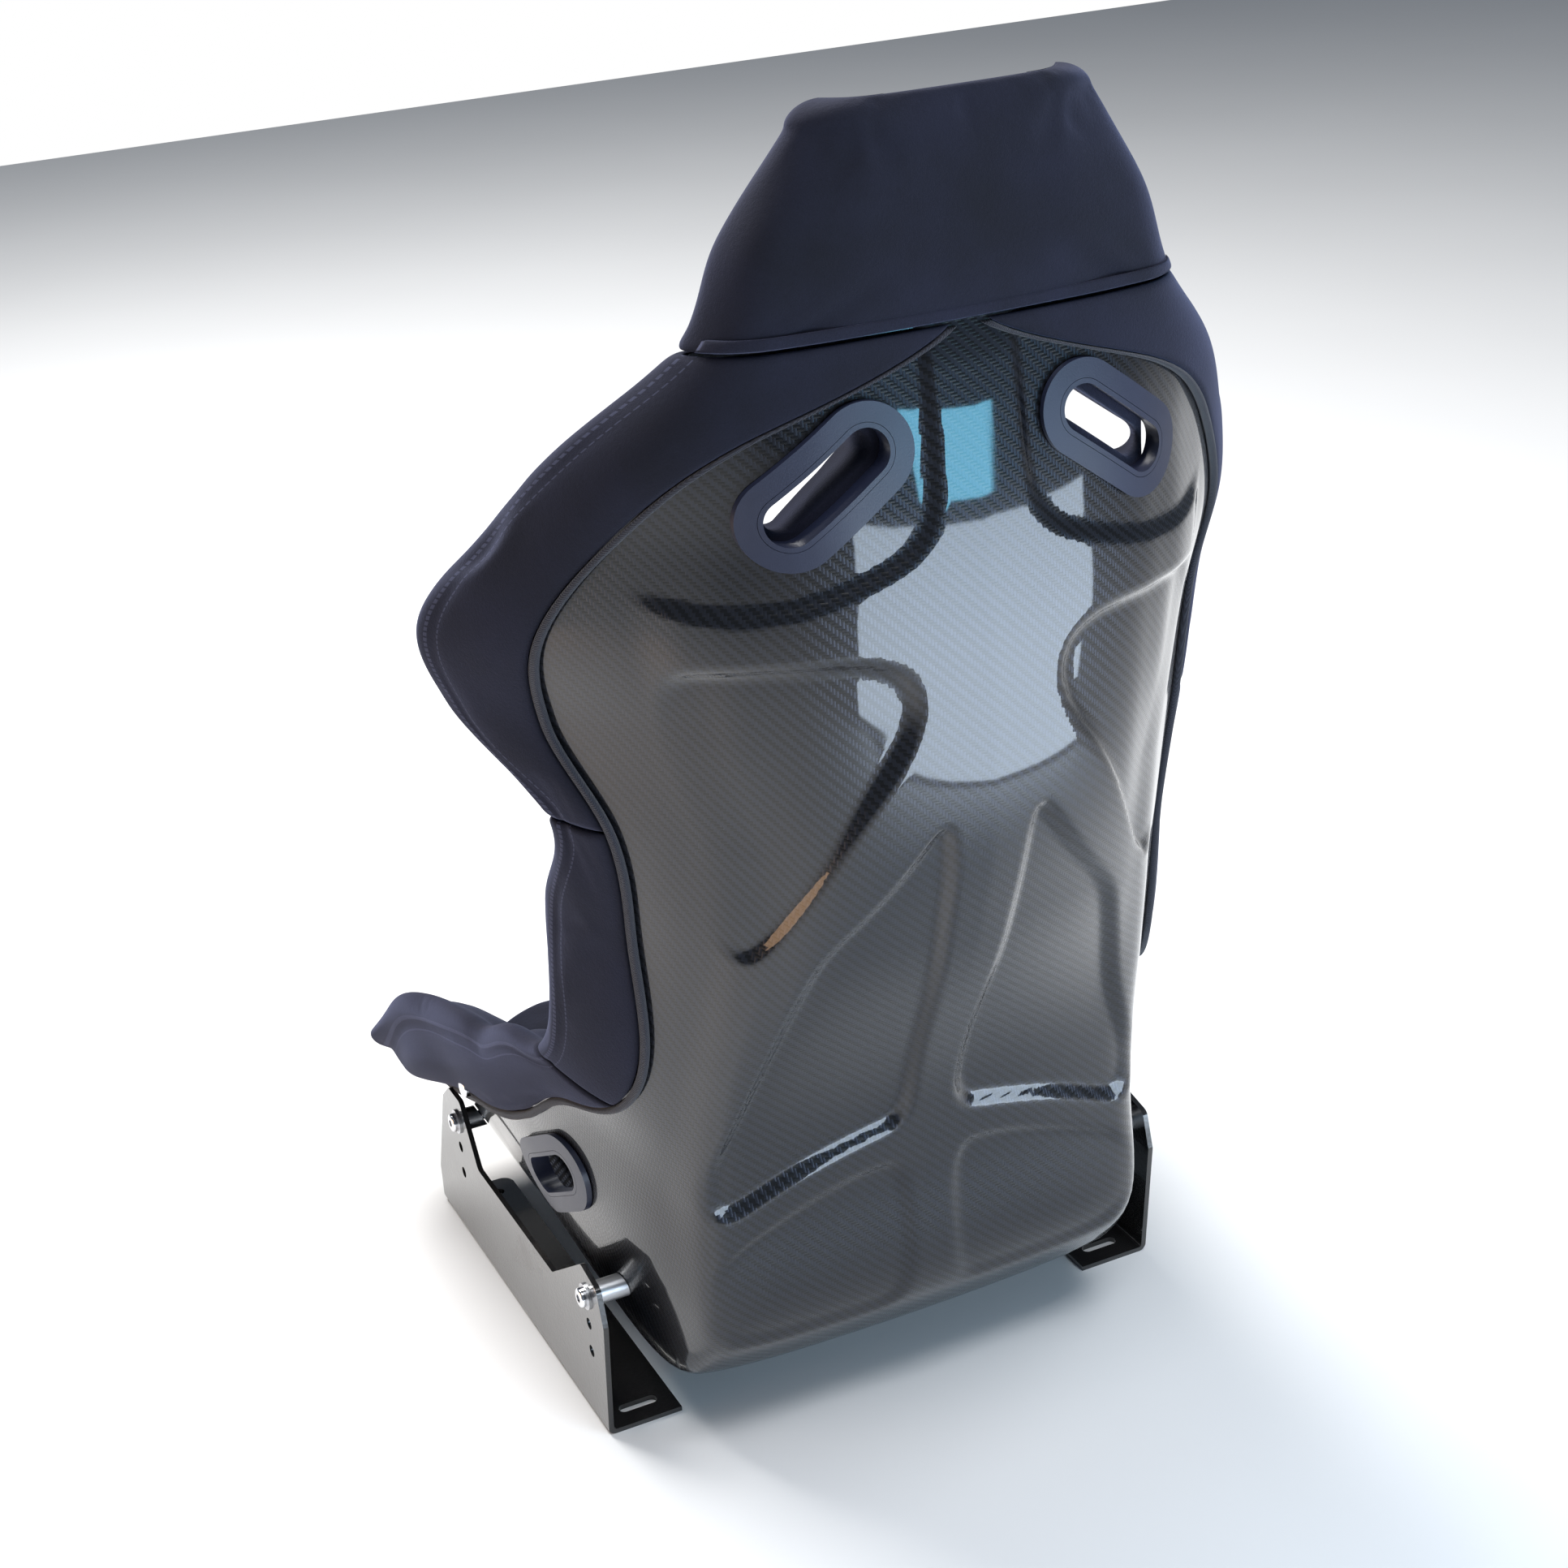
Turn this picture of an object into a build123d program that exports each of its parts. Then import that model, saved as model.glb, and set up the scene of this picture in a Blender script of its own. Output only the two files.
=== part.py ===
from build123d import *
import math
import os
from bisect import bisect_right
from dataclasses import dataclass, fields

# A fixed-back bucket seat. Millimetres, +Z up. The seat faces -Y and +X is the occupant's left.
# The origin is the centre of the four floor slots, on the underside of the bracket flanges.

# ---------------------------------------------------------------- driving dimensions
shell_height = 889.0          # underside of the heel to the crown of the bare shell
shell_width = 576.0           # widest place of the bare shell, across the shoulder wings
shell_depth = 600.0           # front lip to the rearmost point of the bare shell
shell_wall = 4.0              # laminate thickness
corner_tightness = 0.3        # share of each leg that the rounded back corner keeps straight

bond_gap = 2.0                # clearance between the laminate and what lies on it
cover_skin = 5.0              # fabric and foam on the outside of the shell
rim_foam = 9.0                # how far the padding stands past the shell's edge
piece_gap = 2.0               # gap along the seams between neighbouring covers
binding_width = 7.0
binding_height = 4.0
binding_gap = 3.2             # between a cover's edge and its binding

head_pad_thickness = 34.0
shoulder_pad_thickness = 32.0
back_pad_thickness = 38.0
lumbar_pad_thickness = 30.0
seat_pad_thickness = 52.0
pad_edge = 9.0                # thickness that every cushion keeps along its border
hook_strip = 1.6              # hook-and-loop strips under the removable cushions
wing_pad_thickness = 20.0
waist_pad_thickness = 28.0
thigh_pad_thickness = 30.0

harness_x = 97.0              # shoulder harness slots
harness_drop = 202.0          # below the crown, along Z
harness_length = 96.0
harness_width = 37.0
harness_tilt = 37.0           # degrees, the outer end lower
lap_y = 95.0                  # lap belt slots in the side walls
lap_z = 176.0
lap_length = 84.0
lap_width = 36.0
lap_tilt = 30.0               # degrees, the rear end higher
crotch_y = -70.0              # submarine strap slot in the pan
crotch_length = 110.0
crotch_width = 40.0
bezel_band = 11.5             # width of the flange round a slot
lap_band = 12.0
bezel_height = 4.0
bezel_inner_height = 1.4
bezel_lip = 6.0               # how much narrower the inner plate is than the outer flange
sleeve_seat = 0.3             # clearance of the sleeve in its bezel
sleeve_wall = 3.0
sleeve_clearance = 0.8

floor_slot_spacing_x = 398.0
floor_slot_spacing_y = 320.0
floor_slot_width = 9.0
floor_slot_length = 30.0
bracket_outer_width = 460.0
bracket_length = 358.0
bracket_plate = 4.0
bracket_bend = 6.0            # outside radius of the bend between plate and flange
flange_width = 58.0
ear_height = 135.0
ear_dip = 88.0                # height of the plate between its two ears
front_bolt_y = -112.0
front_bolt_z = 112.0
rear_bolt_y = 160.0
rear_bolt_z = 111.0
adjust_pitch = 24.0           # the spare holes under each bolt
bolt_diameter = 8.0
bolt_hole_clearance = 0.5
bolt_head_diameter = 15.0
bolt_head_height = 4.6
washer_diameter = 20.0
washer_thickness = 1.6
spacer_diameter = 18.0
insert_flange = 38.0
insert_thickness = 4.0
thread_clearance = 0.05       # the insert's thread is drawn as a plain bore
bolt_tail = 3.0               # thread that shows past the insert

stud_y = -60.0                # press studs that close the thigh covers
stud_z = 172.0
stud_diameter = 15.0
stud_height = 3.4


# ---------------------------------------------------------------- the form of the shell
@dataclass
class Station:
    """One cross-section: its middle on the outside of the shell, and half of its outline."""
    y: float
    z: float
    tilt: float               # degrees that the section plane rises towards the back
    corner_x: float           # where the back panel turns into the side wall
    corner_in: float
    wall_x: float             # halfway along the side wall
    wall_in: float
    rim_x: float              # the bare edge of the shell
    rim_in: float
    flap_out: float           # how far the cover reaches back from the edge, outside
    flap_in: float            # and inside


DRAWN_HEIGHT, DRAWN_WIDTH, DRAWN_DEPTH = 889.0, 576.0, 600.0
DRAWN = {
    "crown": Station(347, 946, 3, 66, 3, 80, 8, 88, 18, 52, 40),
    "head": Station(345, 888, 3, 112, 5, 125, 14, 130, 30, 80, 58),
    "neck": Station(345, 828, 3, 128, 8, 148, 20, 156, 38, 160, 70),
    "shoulder": Station(353, 772, 3, 156, 28, 196, 56, 214, 92, 96, 78),
    "wing_top": Station(360, 715, 3, 160, 38, 224, 92, 254, 150, 82, 143),
    "wing": Station(364, 650, 2, 157, 36, 240, 118, 288, 192, 78, 200),
    "wing_low": Station(364, 585, 0, 155, 40, 232, 134, 274, 196, 62, 194),
    "waist": Station(360, 500, -4, 155, 54, 206, 110, 228, 148, 34, 126),
    "lumbar": Station(335, 420, -8, 153, 36, 200, 94, 226, 152, 58, 137),
    "hip": Station(264, 262, -18, 162, 3, 206, 64, 231, 128, 62, 112),
    "buttock": Station(255, 205, -26, 168, 3, 208, 88, 234, 186, 56, 66),
    "tail": Station(251, 100, -34, 176, 6, 209, 110, 238, 276, 60, 66),
    "heel": Station(226, 57, -41, 178, 8, 210, 116, 240, 296, 64, 66),
    "pan": Station(16, 50, -56, 182, 8, 212, 80, 243, 206, 68, 64),
    "thigh": Station(-111, 58, -70, 184, 8, 214, 66, 245, 140, 64, 58),
    "lip": Station(-236, 78, -84, 184, 8, 214, 32, 242, 48, 44, 32),
}
WIDTH_FIELDS = ("corner_x", "wall_x", "rim_x")
INWARD_FIELDS = ("corner_in", "wall_in", "rim_in")
heel_z = DRAWN["heel"].z


def stretched(drawn):
    """The drawn station at the height, width and depth that the seat is asked for."""
    tall, wide, deep = (
        shell_height / DRAWN_HEIGHT, shell_width / DRAWN_WIDTH, shell_depth / DRAWN_DEPTH)
    values = {f.name: getattr(drawn, f.name) for f in fields(Station)}
    lean = math.radians(drawn.tilt)
    inward = math.hypot(math.cos(lean) * deep, math.sin(lean) * tall)
    values["y"] = drawn.y * deep
    values["z"] = heel_z + (drawn.z - heel_z) * tall
    for name in WIDTH_FIELDS:
        values[name] *= wide
    for name in INWARD_FIELDS:
        values[name] *= inward
    return Station(**values)


STATIONS = {name: stretched(drawn) for name, drawn in DRAWN.items()}
ROW = list(STATIONS.values())
RUN = [0.0]
for above, below in zip(ROW, ROW[1:]):
    RUN.append(RUN[-1] + math.hypot(below.y - above.y, below.z - above.z))
AT = dict(zip(STATIONS, RUN))      # distance of each station down the middle of the shell


def smooth_through(run, values):
    """A smooth curve of one value along the run, as a function."""
    steps = [b - a for a, b in zip(run, run[1:])]
    rises = [(b - a) / h for a, b, h in zip(values, values[1:], steps)]
    slopes = [rises[0]]
    for i in range(1, len(run) - 1):
        slopes.append((rises[i - 1] * steps[i] + rises[i] * steps[i - 1]) / (steps[i - 1] + steps[i]))
    slopes.append(rises[-1])

    def value(s):
        i = min(max(bisect_right(run, s) - 1, 0), len(steps) - 1)
        h, t = steps[i], (s - run[i]) / steps[i]
        return (values[i] * (1 + 2 * t) * (1 - t) ** 2 + slopes[i] * h * t * (1 - t) ** 2
                + values[i + 1] * t * t * (3 - 2 * t) + slopes[i + 1] * h * t * t * (t - 1))
    return value


ALONG = {f.name: smooth_through(RUN, [getattr(st, f.name) for st in ROW]) for f in fields(Station)}


def curve_point(control, t, degree=3):
    """A point of the clamped B-spline over the control points (de Boor)."""
    spans = len(control) - degree
    knots = [0.0] * degree + [i / spans for i in range(spans + 1)] + [1.0] * degree
    t = min(max(t, 0.0), 1.0 - 1e-9)
    k = bisect_right(knots, t) - 1
    points = [control[j + k - degree] for j in range(degree + 1)]
    for level in range(1, degree + 1):
        for j in range(degree, level - 1, -1):
            low, high = knots[j + k - degree], knots[j + 1 + k - level]
            a = (t - low) / (high - low)
            points[j] = tuple((1 - a) * p + a * q for p, q in zip(points[j - 1], points[j]))
    return points[degree]


class Section:
    """Half of a cross-section of the outside of the shell, measured back from its edge."""
    SAMPLES = 72

    def __init__(self, s):
        st = Station(**{name: along(min(max(s, 0.0), RUN[-1])) for name, along in ALONG.items()})
        self.station, self.s = st, s
        lean = math.radians(st.tilt)
        self.out_y, self.out_z = math.cos(lean), math.sin(lean)
        corner, wall, rim = (st.corner_x, st.corner_in), (st.wall_x, st.wall_in), (st.rim_x, st.rim_in)
        middle = (0.6 * st.corner_x, 0.06 * st.corner_in)

        def towards(a, b):
            return tuple(p + corner_tightness * (q - p) for p, q in zip(a, b))

        control = [(0.0, 0.0), middle, towards(corner, middle), corner, towards(corner, wall), wall, rim]
        self.points = [curve_point(control, i / self.SAMPLES) for i in range(self.SAMPLES + 1)]
        lengths = [0.0]
        for a, b in zip(self.points, self.points[1:]):
            lengths.append(lengths[-1] + math.dist(a, b))
        self.length = lengths[-1]
        self.lengths = lengths
        step = 2.0
        dy = ALONG["y"](s + step) - ALONG["y"](s - step)
        dz = ALONG["z"](s + step) - ALONG["z"](s - step)
        across = abs(self.out_y * dz - self.out_z * dy) / math.hypot(dy, dz)
        self.stretch = 1.0 / max(across, 0.6)

    def flat(self, from_rim, lift):
        """(x, inward) of a point so far back from the edge, lifted out of the surface."""
        run = self.length - from_rim
        i = min(max(bisect_right(self.lengths, run) - 1, 0), self.SAMPLES - 1)
        a, b = self.points[i], self.points[i + 1]
        span = self.lengths[i + 1] - self.lengths[i]
        t = (run - self.lengths[i]) / span
        tx, td = (b[0] - a[0]) / span, (b[1] - a[1]) / span
        rise = lift * (1.0 + (self.stretch - 1.0) * tx * tx)
        return a[0] + (b[0] - a[0]) * t + td * rise, a[1] + (b[1] - a[1]) * t - tx * rise

    def place(self, x, inward):
        """A point of the section in the seat's own frame."""
        st = self.station
        return Vector(x, st.y - inward * self.out_y, st.z - inward * self.out_z)

    def point(self, from_rim, lift, side=1):
        x, inward = self.flat(from_rim, lift)
        return self.place(side * x, inward)


def spread(start, end, count):
    """Evenly spaced values, both ends included."""
    return [start + (end - start) * i / (count - 1) for i in range(count)]


def runs_between(start, end, pitch=26.0):
    """Distances down the shell for the sections of a loft, closer where the shell turns tightly."""
    turns = [AT[name] for name in ("hip", "buttock", "tail", "heel")]
    values = spread(start, end, max(4, round(abs(end - start) / pitch) + 1))
    half = pitch / 2
    extra = [t + d for t in turns for d in (-half, half) if start + half < t + d < end - half]
    merged = sorted(values + extra)
    kept = [merged[0]]
    for value in merged[1:-1]:
        if value - kept[-1] > 0.35 * pitch and merged[-1] - value > 0.35 * pitch:
            kept.append(value)
    return kept + [merged[-1]]


def through(points):
    """A spline through the points, with the same knots in every section of a loft."""
    return Edge.make_spline(points, parameters=spread(0.0, 1.0, len(points)))


def ring_of(chains):
    """A closed wire: each chain of points is a spline, and straight lines join them."""
    edges = []
    for chain, following in zip(chains, chains[1:] + chains[:1]):
        edges.append(through(chain))
        edges.append(Edge.make_line(chain[-1], following[0]))
    return Wire(edges)


def solid_from(wires):
    return Solid.make_loft(wires)


# ---------------------------------------------------------------- outlines of sections
HALF_COUNT = 13


def full_width(section, lift, half_count=HALF_COUNT):
    """Points across the whole section, right edge to left edge."""
    backs = spread(0.0, section.length, half_count)
    right = [section.point(back, lift, -1) for back in backs]
    left = [section.point(back, lift, 1) for back in reversed(backs[:-1])]
    return right + left


def shell_wire(section):
    outside = full_width(section, 0.0)
    inside = full_width(section, -shell_wall)[::-1]
    return ring_of([outside, inside])


def core_wire(section, lift):
    """Everything inside the surface at this lift, closed straight across the open side."""
    return ring_of([full_width(section, lift)])


def core_body(lift, start=0.0, end=None):
    sections = [Section(s) for s in runs_between(start, RUN[-1] if end is None else end)]
    return solid_from([core_wire(section, lift) for section in sections])


def cover_wire(section, flap_out, flap_in, pad, side):
    """A padded cover folded over the edge of the shell: skin outside, bolster inside."""
    low, high = bond_gap, bond_gap + cover_skin
    under, edge = -(shell_wall + bond_gap), -(shell_wall + bond_gap + cover_skin)

    def bolster(share):
        swell = math.sin(math.pi * share ** 0.8)
        return edge - (pad - cover_skin) * max(swell, 0.0) ** 0.8

    tip_x, tip_in = section.flat(0.0, 0.0)
    near_x, near_in = section.flat(1.0, 0.0)
    along = math.hypot(tip_x - near_x, tip_in - near_in)
    ax, ai = (tip_x - near_x) / along, (tip_in - near_in) / along
    rim = rim_foam + cover_skin

    def fold(reach, lift):
        x, inward = section.flat(0.0, lift)
        return section.place(side * (x + ax * reach), inward + ai * reach)

    middle = -shell_wall / 2
    outer = [section.point(back, high, side) for back in spread(flap_out, 0.0, 7)]
    outer += [fold(0.72 * rim, 0.5 * high + 0.5 * middle), fold(rim, middle)]
    outer += [fold(0.72 * rim, 0.5 * middle + 0.5 * (edge - 2.0))]
    inner_backs = spread(0.0, 1.0, 8)
    outer += [section.point(flap_in * share, bolster(share), side) for share in inner_backs]
    groove_in = [section.point(back, under, side) for back in spread(flap_in, 0.0, 6)[:-1]]
    groove_in += [fold(bond_gap, under)]
    groove_out = [fold(bond_gap, low)]
    groove_out += [section.point(back, low, side) for back in spread(0.0, flap_out, 6)[1:]]
    return ring_of([outer, groove_in, groove_out])


def cover(start, end, pad, side):
    """One side cover between two distances down the shell."""
    wires = []
    for s in runs_between(start, end):
        section = Section(s)
        st = section.station
        reach = min(st.flap_out, section.length - 12.0)
        wires.append(cover_wire(section, reach, st.flap_in, pad, side))
    return solid_from(wires)


def binding(start, end, side):
    """The bound edge that finishes the cover on the outside of the shell."""
    wires = []
    for s in runs_between(start, end):
        section = Section(s)
        near = min(section.station.flap_out, section.length - 12.0) + binding_gap
        backs = (near, near + binding_width)
        low = [section.point(back, bond_gap, side) for back in backs]
        high = [section.point(back, bond_gap + binding_height, side) for back in reversed(backs)]
        wires.append(Wire.make_polygon(low + high))
    return solid_from(wires)


def cushion(start, end, half_width, thickness, lift, front_share):
    """A crowned cushion on the inside of the shell; its far end may stay thick."""
    wires = []
    for s in runs_between(start, end):
        section = Section(s)
        share = (s - start) / (end - start)
        ends = max((1.0 - abs(2 * share - 1) ** 4) ** 0.5, front_share if share > 0.5 else 0.0)
        first = section.length - half_width
        backs = spread(first, section.length, 9)

        def top(back):
            side_share = (section.length - back) / half_width
            crown = max(1.0 - side_share ** 4, 0.0) ** 0.5
            return lift - pad_edge - (thickness - pad_edge) * crown * ends

        under = [section.point(back, lift, -1) for back in backs]
        under += [section.point(back, lift, 1) for back in reversed(backs[:-1])]
        over = [section.point(back, top(back), 1) for back in backs]
        over += [section.point(back, top(back), -1) for back in reversed(backs[:-1])]
        wires.append(ring_of([under, over]))
    return solid_from(wires)


def skin(start, end, from_centre, to_centre, low, high, side):
    """A thin patch that follows the surface between two lifts, on one side of the middle."""
    wires = []
    for s in runs_between(start, end):
        section = Section(s)
        backs = spread(section.length - to_centre, section.length - from_centre, 7)
        bottom = [section.point(back, low, side) for back in backs]
        top = [section.point(back, high, side) for back in reversed(backs)]
        wires.append(ring_of([bottom, top]))
    return solid_from(wires)


# ---------------------------------------------------------------- slots and their bezels
def stadium(length, width, tilt, centre, plane):
    """A slot outline in a plane, its long axis turned by tilt degrees."""
    face = Rot(0, 0, tilt) * SlotOverall(length, width)
    return plane * Pos(centre[0], centre[1], 0) * face


def prism(face, direction, before, after):
    """The face swept both ways along a direction."""
    start = face.moved(Location(tuple(-before * c for c in direction)))
    amount = (before + after)
    return extrude(start, amount=amount, dir=direction)


def station_run_at_z(z):
    """Distance down the back at which its middle is at this height."""
    low, high = 0.0, AT["tail"]
    for _ in range(40):
        mid = (low + high) / 2
        if ALONG["z"](mid) > z:
            low = mid
        else:
            high = mid
    return (low + high) / 2


@dataclass
class Slot:
    """A belt slot: where it is cut, its outline and the direction of the cut."""
    name: str
    centre: tuple
    length: float
    width: float
    tilt: float
    plane: Plane
    direction: tuple
    band: float
    run: tuple                # stretch of the shell that its bezel lies on
    across: tuple             # and how far from the middle, along the surface
    side: int

    def bar(self, grow, before=90.0, after=90.0):
        face = stadium(self.length + 2 * grow, self.width + 2 * grow, self.tilt,
                       self.centre, self.plane)
        return prism(face, self.direction, before, after)

    def flange(self, low, high, grow, bore_grow):
        """The part of a ring that lies between two lifts of the surface."""
        if self.side:
            patch = skin(*self.run, *self.across, low, high, self.side)
        else:
            patch = (skin(*self.run, *self.across, low, high, 1)
                     + skin(*self.run, *self.across, low, high, -1))
        return (patch & self.bar(grow)) - self.bar(bore_grow)


crown_z = STATIONS["crown"].z
harness_z = crown_z - harness_drop
back_plane_y = STATIONS["shoulder"].y
harness_run = station_run_at_z(harness_z)
lap_x = STATIONS["heel"].wall_x + 8.0
pan_z = STATIONS["pan"].z


def make_slots():
    slots = []
    reach = harness_length / 2 + bezel_band + 14.0
    for side, word in ((1, "left"), (-1, "right")):
        plane = Plane(origin=(0, back_plane_y, 0), x_dir=(1, 0, 0), z_dir=(0, -1, 0))
        slots.append(Slot(f"{word}_harness", (side * harness_x, harness_z), harness_length,
                          harness_width, -side * harness_tilt, plane, (0, -1, 0), bezel_band,
                          (harness_run - reach, harness_run + reach),
                          (4.0, harness_x + reach + 30.0), side))
    for side, word in ((1, "left"), (-1, "right")):
        plane = Plane(origin=(side * lap_x, 0, 0), x_dir=(0, 1, 0), z_dir=(1, 0, 0))
        slots.append(Slot(f"{word}_lap_belt", (lap_y, lap_z), lap_length, lap_width, lap_tilt,
                          plane, (1, 0, 0), lap_band, (AT["hip"] - 20, AT["pan"]),
                          (STATIONS["heel"].corner_x - 20, STATIONS["heel"].corner_x + 290), side))
    plane = Plane(origin=(0, 0, pan_z), x_dir=(1, 0, 0), z_dir=(0, 0, 1))
    span = crotch_width / 2 + bezel_band + 14.0
    middle = AT["pan"] + (STATIONS["pan"].y - crotch_y)
    slots.append(Slot("crotch_strap", (0.0, crotch_y), crotch_length, crotch_width, 0.0, plane,
                      (0, 0, 1), bezel_band, (middle - span, middle + span),
                      (0.0, crotch_length / 2 + bezel_band + 14.0), 0))
    return slots


def outer_bezel(slot):
    """The flange on the outside of the shell."""
    return slot.flange(bond_gap, bond_gap + bezel_height, slot.band, -sleeve_clearance + sleeve_seat)


def sleeve(slot):
    """The sleeve that lines the slot, from the outer flange to the inner plate."""
    low = -(shell_wall + bond_gap + bezel_inner_height)
    return slot.flange(low, bond_gap + bezel_height, -sleeve_clearance, -sleeve_clearance - sleeve_wall)


def inner_bezel(slot):
    """The plate on the inside of the shell, round the sleeve."""
    low = -(shell_wall + bond_gap + bezel_inner_height)
    return slot.flange(low, -(shell_wall + bond_gap), slot.band - bezel_lip, 0.0)


# ---------------------------------------------------------------- brackets and fasteners
plate_outer_x = bracket_outer_width / 2
plate_inner_x = plate_outer_x - bracket_plate
BOLTS = ((front_bolt_y, front_bolt_z), (rear_bolt_y, rear_bolt_z))


def along_x(radius, x_from, x_to, y, z):
    """A round bar along X."""
    low, high = min(x_from, x_to), max(x_from, x_to)
    bar = Cylinder(radius, high - low, align=(Align.CENTER, Align.CENTER, Align.MIN))
    return Pos(low, y, z) * Rot(0, 90, 0) * bar


def bracket(side):
    """An angle of folded steel: an eared side plate and a floor flange with two slots."""
    half = bracket_length / 2
    outline = make_face(Polyline(
        (-half, 0), (-half, 34), (front_bolt_y - 34, ear_height - 16), (front_bolt_y - 16, ear_height),
        (front_bolt_y + 10, ear_height), (front_bolt_y + 40, ear_dip), (rear_bolt_y - 72, ear_dip),
        (rear_bolt_y - 6, ear_height), (rear_bolt_y + 22, ear_height - 6), (rear_bolt_y + 30, ear_dip + 12),
        (half, 0), (-half, 0)))
    raised = [corner for corner in outline.vertices() if corner.Y > bracket_plate]
    outline = fillet(raised, radius=6.0)
    inner_x = plate_outer_x - flange_width
    angle_line = make_face(Polyline(
        (inner_x, 0), (plate_outer_x, 0), (plate_outer_x, ear_height), (plate_inner_x, ear_height),
        (plate_inner_x, bracket_plate), (inner_x, bracket_plate), (inner_x, 0)))
    outer_bend = angle_line.vertices().filter_by(lambda v: v.X > plate_inner_x + 1 and v.Y < 1)
    angle_line = fillet(outer_bend, radius=bracket_bend)
    inner_bend = angle_line.vertices().filter_by(
        lambda v: abs(v.X - plate_inner_x) < 0.01 and abs(v.Y - bracket_plate) < 0.01)
    angle_line = fillet(inner_bend, radius=bracket_bend - bracket_plate)
    angle = extrude(Plane.XZ * angle_line, amount=bracket_length, both=True)
    angle &= Pos(inner_x - 1, 0, 0) * extrude(Plane.YZ * outline, amount=flange_width + 2)
    corners = [e for e in angle.edges().filter_by(Axis.Z) if abs(e.center().X - inner_x) < 0.01]
    angle = fillet(corners, radius=10.0)
    for y in (-floor_slot_spacing_y / 2, floor_slot_spacing_y / 2):
        cut = extrude(SlotOverall(floor_slot_length, floor_slot_width), amount=3 * bracket_plate)
        angle -= Pos(floor_slot_spacing_x / 2, y, -bracket_plate) * cut
    for y, z in BOLTS:
        for step in range(3):
            angle -= along_x(bolt_diameter / 2 + bolt_hole_clearance, plate_inner_x - 2,
                             plate_outer_x + 2, y, z - step * adjust_pitch)
    return angle if side > 0 else mirror(angle, about=Plane.YZ)


def surface_x(y, z, lift=0.0):
    """Half-width of the lifted outside of the side wall at a place seen from the side."""
    near, found = math.inf, 0.0
    for s in spread(AT["hip"], RUN[-1], 90):
        section = Section(s)
        for back in spread(0.0, section.length - 0.7 * section.station.corner_x, 50):
            p = section.point(back, lift)
            miss = math.hypot(p.Y - y, p.Z - z)
            if miss < near:
                near, found = miss, p.X
    return found


def both_sides(make):
    """The piece at each bolt of both brackets, as one group of separate solids."""
    return Compound([make(side, y, z) for side in (1, -1) for y, z in BOLTS])


def spacer(side, y, z, outside):
    """The sleeve between a bracket and the slanted wall of the shell."""
    bar = along_x(spacer_diameter / 2, side * (surface_x(y, z) - 30), side * plate_inner_x, y, z)
    bore = along_x(bolt_diameter / 2 + bolt_hole_clearance, side * 100, side * 300, y, z)
    return bar - outside - bore


def insert(side, y, z, inside, inner_face):
    """A flanged nut plate bonded to the inside of the shell."""
    disc = along_x(insert_flange / 2, side * (surface_x(y, z) - 60), side * (surface_x(y, z) + 20), y, z)
    bore = along_x(bolt_diameter / 2 + thread_clearance, side * 100, side * 300, y, z)
    return (disc & inside) - inner_face - bore


def bolt(side, y, z):
    """A domed socket bolt through bracket, spacer, shell and insert."""
    under_head = plate_outer_x + washer_thickness
    tip = surface_x(y, z) - shell_wall - bond_gap - insert_thickness - bolt_tail
    shank = along_x(bolt_diameter / 2, side * tip, side * under_head, y, z)
    head = along_x(bolt_head_diameter / 2, side * under_head, side * (under_head + bolt_head_height), y, z)
    crown = head.edges().sort_by(Axis.X)[-1 if side > 0 else 0]
    head = fillet(crown, radius=0.45 * bolt_head_height)
    socket_depth = 0.55 * bolt_head_height
    socket = extrude(Plane.YZ * RegularPolygon(0.22 * bolt_head_diameter, 6), amount=socket_depth)
    top = side * (under_head + bolt_head_height)
    return shank + head - Pos(min(top, top - side * socket_depth), y, z) * socket


def washer(side, y, z):
    disc = along_x(washer_diameter / 2, side * plate_outer_x, side * (plate_outer_x + washer_thickness), y, z)
    return disc - along_x(bolt_diameter / 2 + bolt_hole_clearance, side * 100, side * 300, y, z)


def press_stud(side, skin_body):
    """A domed snap that closes the end of a thigh cover."""
    lift = bond_gap + cover_skin
    x = surface_x(stud_y, stud_z, lift)
    cap = along_x(stud_diameter / 2, side * (x - 8), side * (x + stud_height), stud_y, stud_z)
    face_edge = cap.edges().sort_by(Axis.X)[-1 if side > 0 else 0]
    return fillet(face_edge, radius=0.6 * stud_height) - skin_body


# ---------------------------------------------------------------- the hood over the head
# rise of each section of the hood's top, as a share of the rim padding, and its narrowing
HOOD_CAP = ((0.4, 0.985), (0.72, 0.94), (0.93, 0.86), (1.0, 0.76))


def rim_tip(section, lift, reach):
    """(x, inward) of a point past the shell's edge, in line with the side wall."""
    tip, before = section.flat(0.0, lift), section.flat(1.0, lift)
    run = math.dist(tip, before)
    return tuple(p + (p - q) / run * reach for p, q in zip(tip, before))


def both_ways(flats):
    """Half a chain that starts at the left edge, completed by its mirror image."""
    return flats + [(-x, inward) for x, inward in reversed(flats)]


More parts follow.
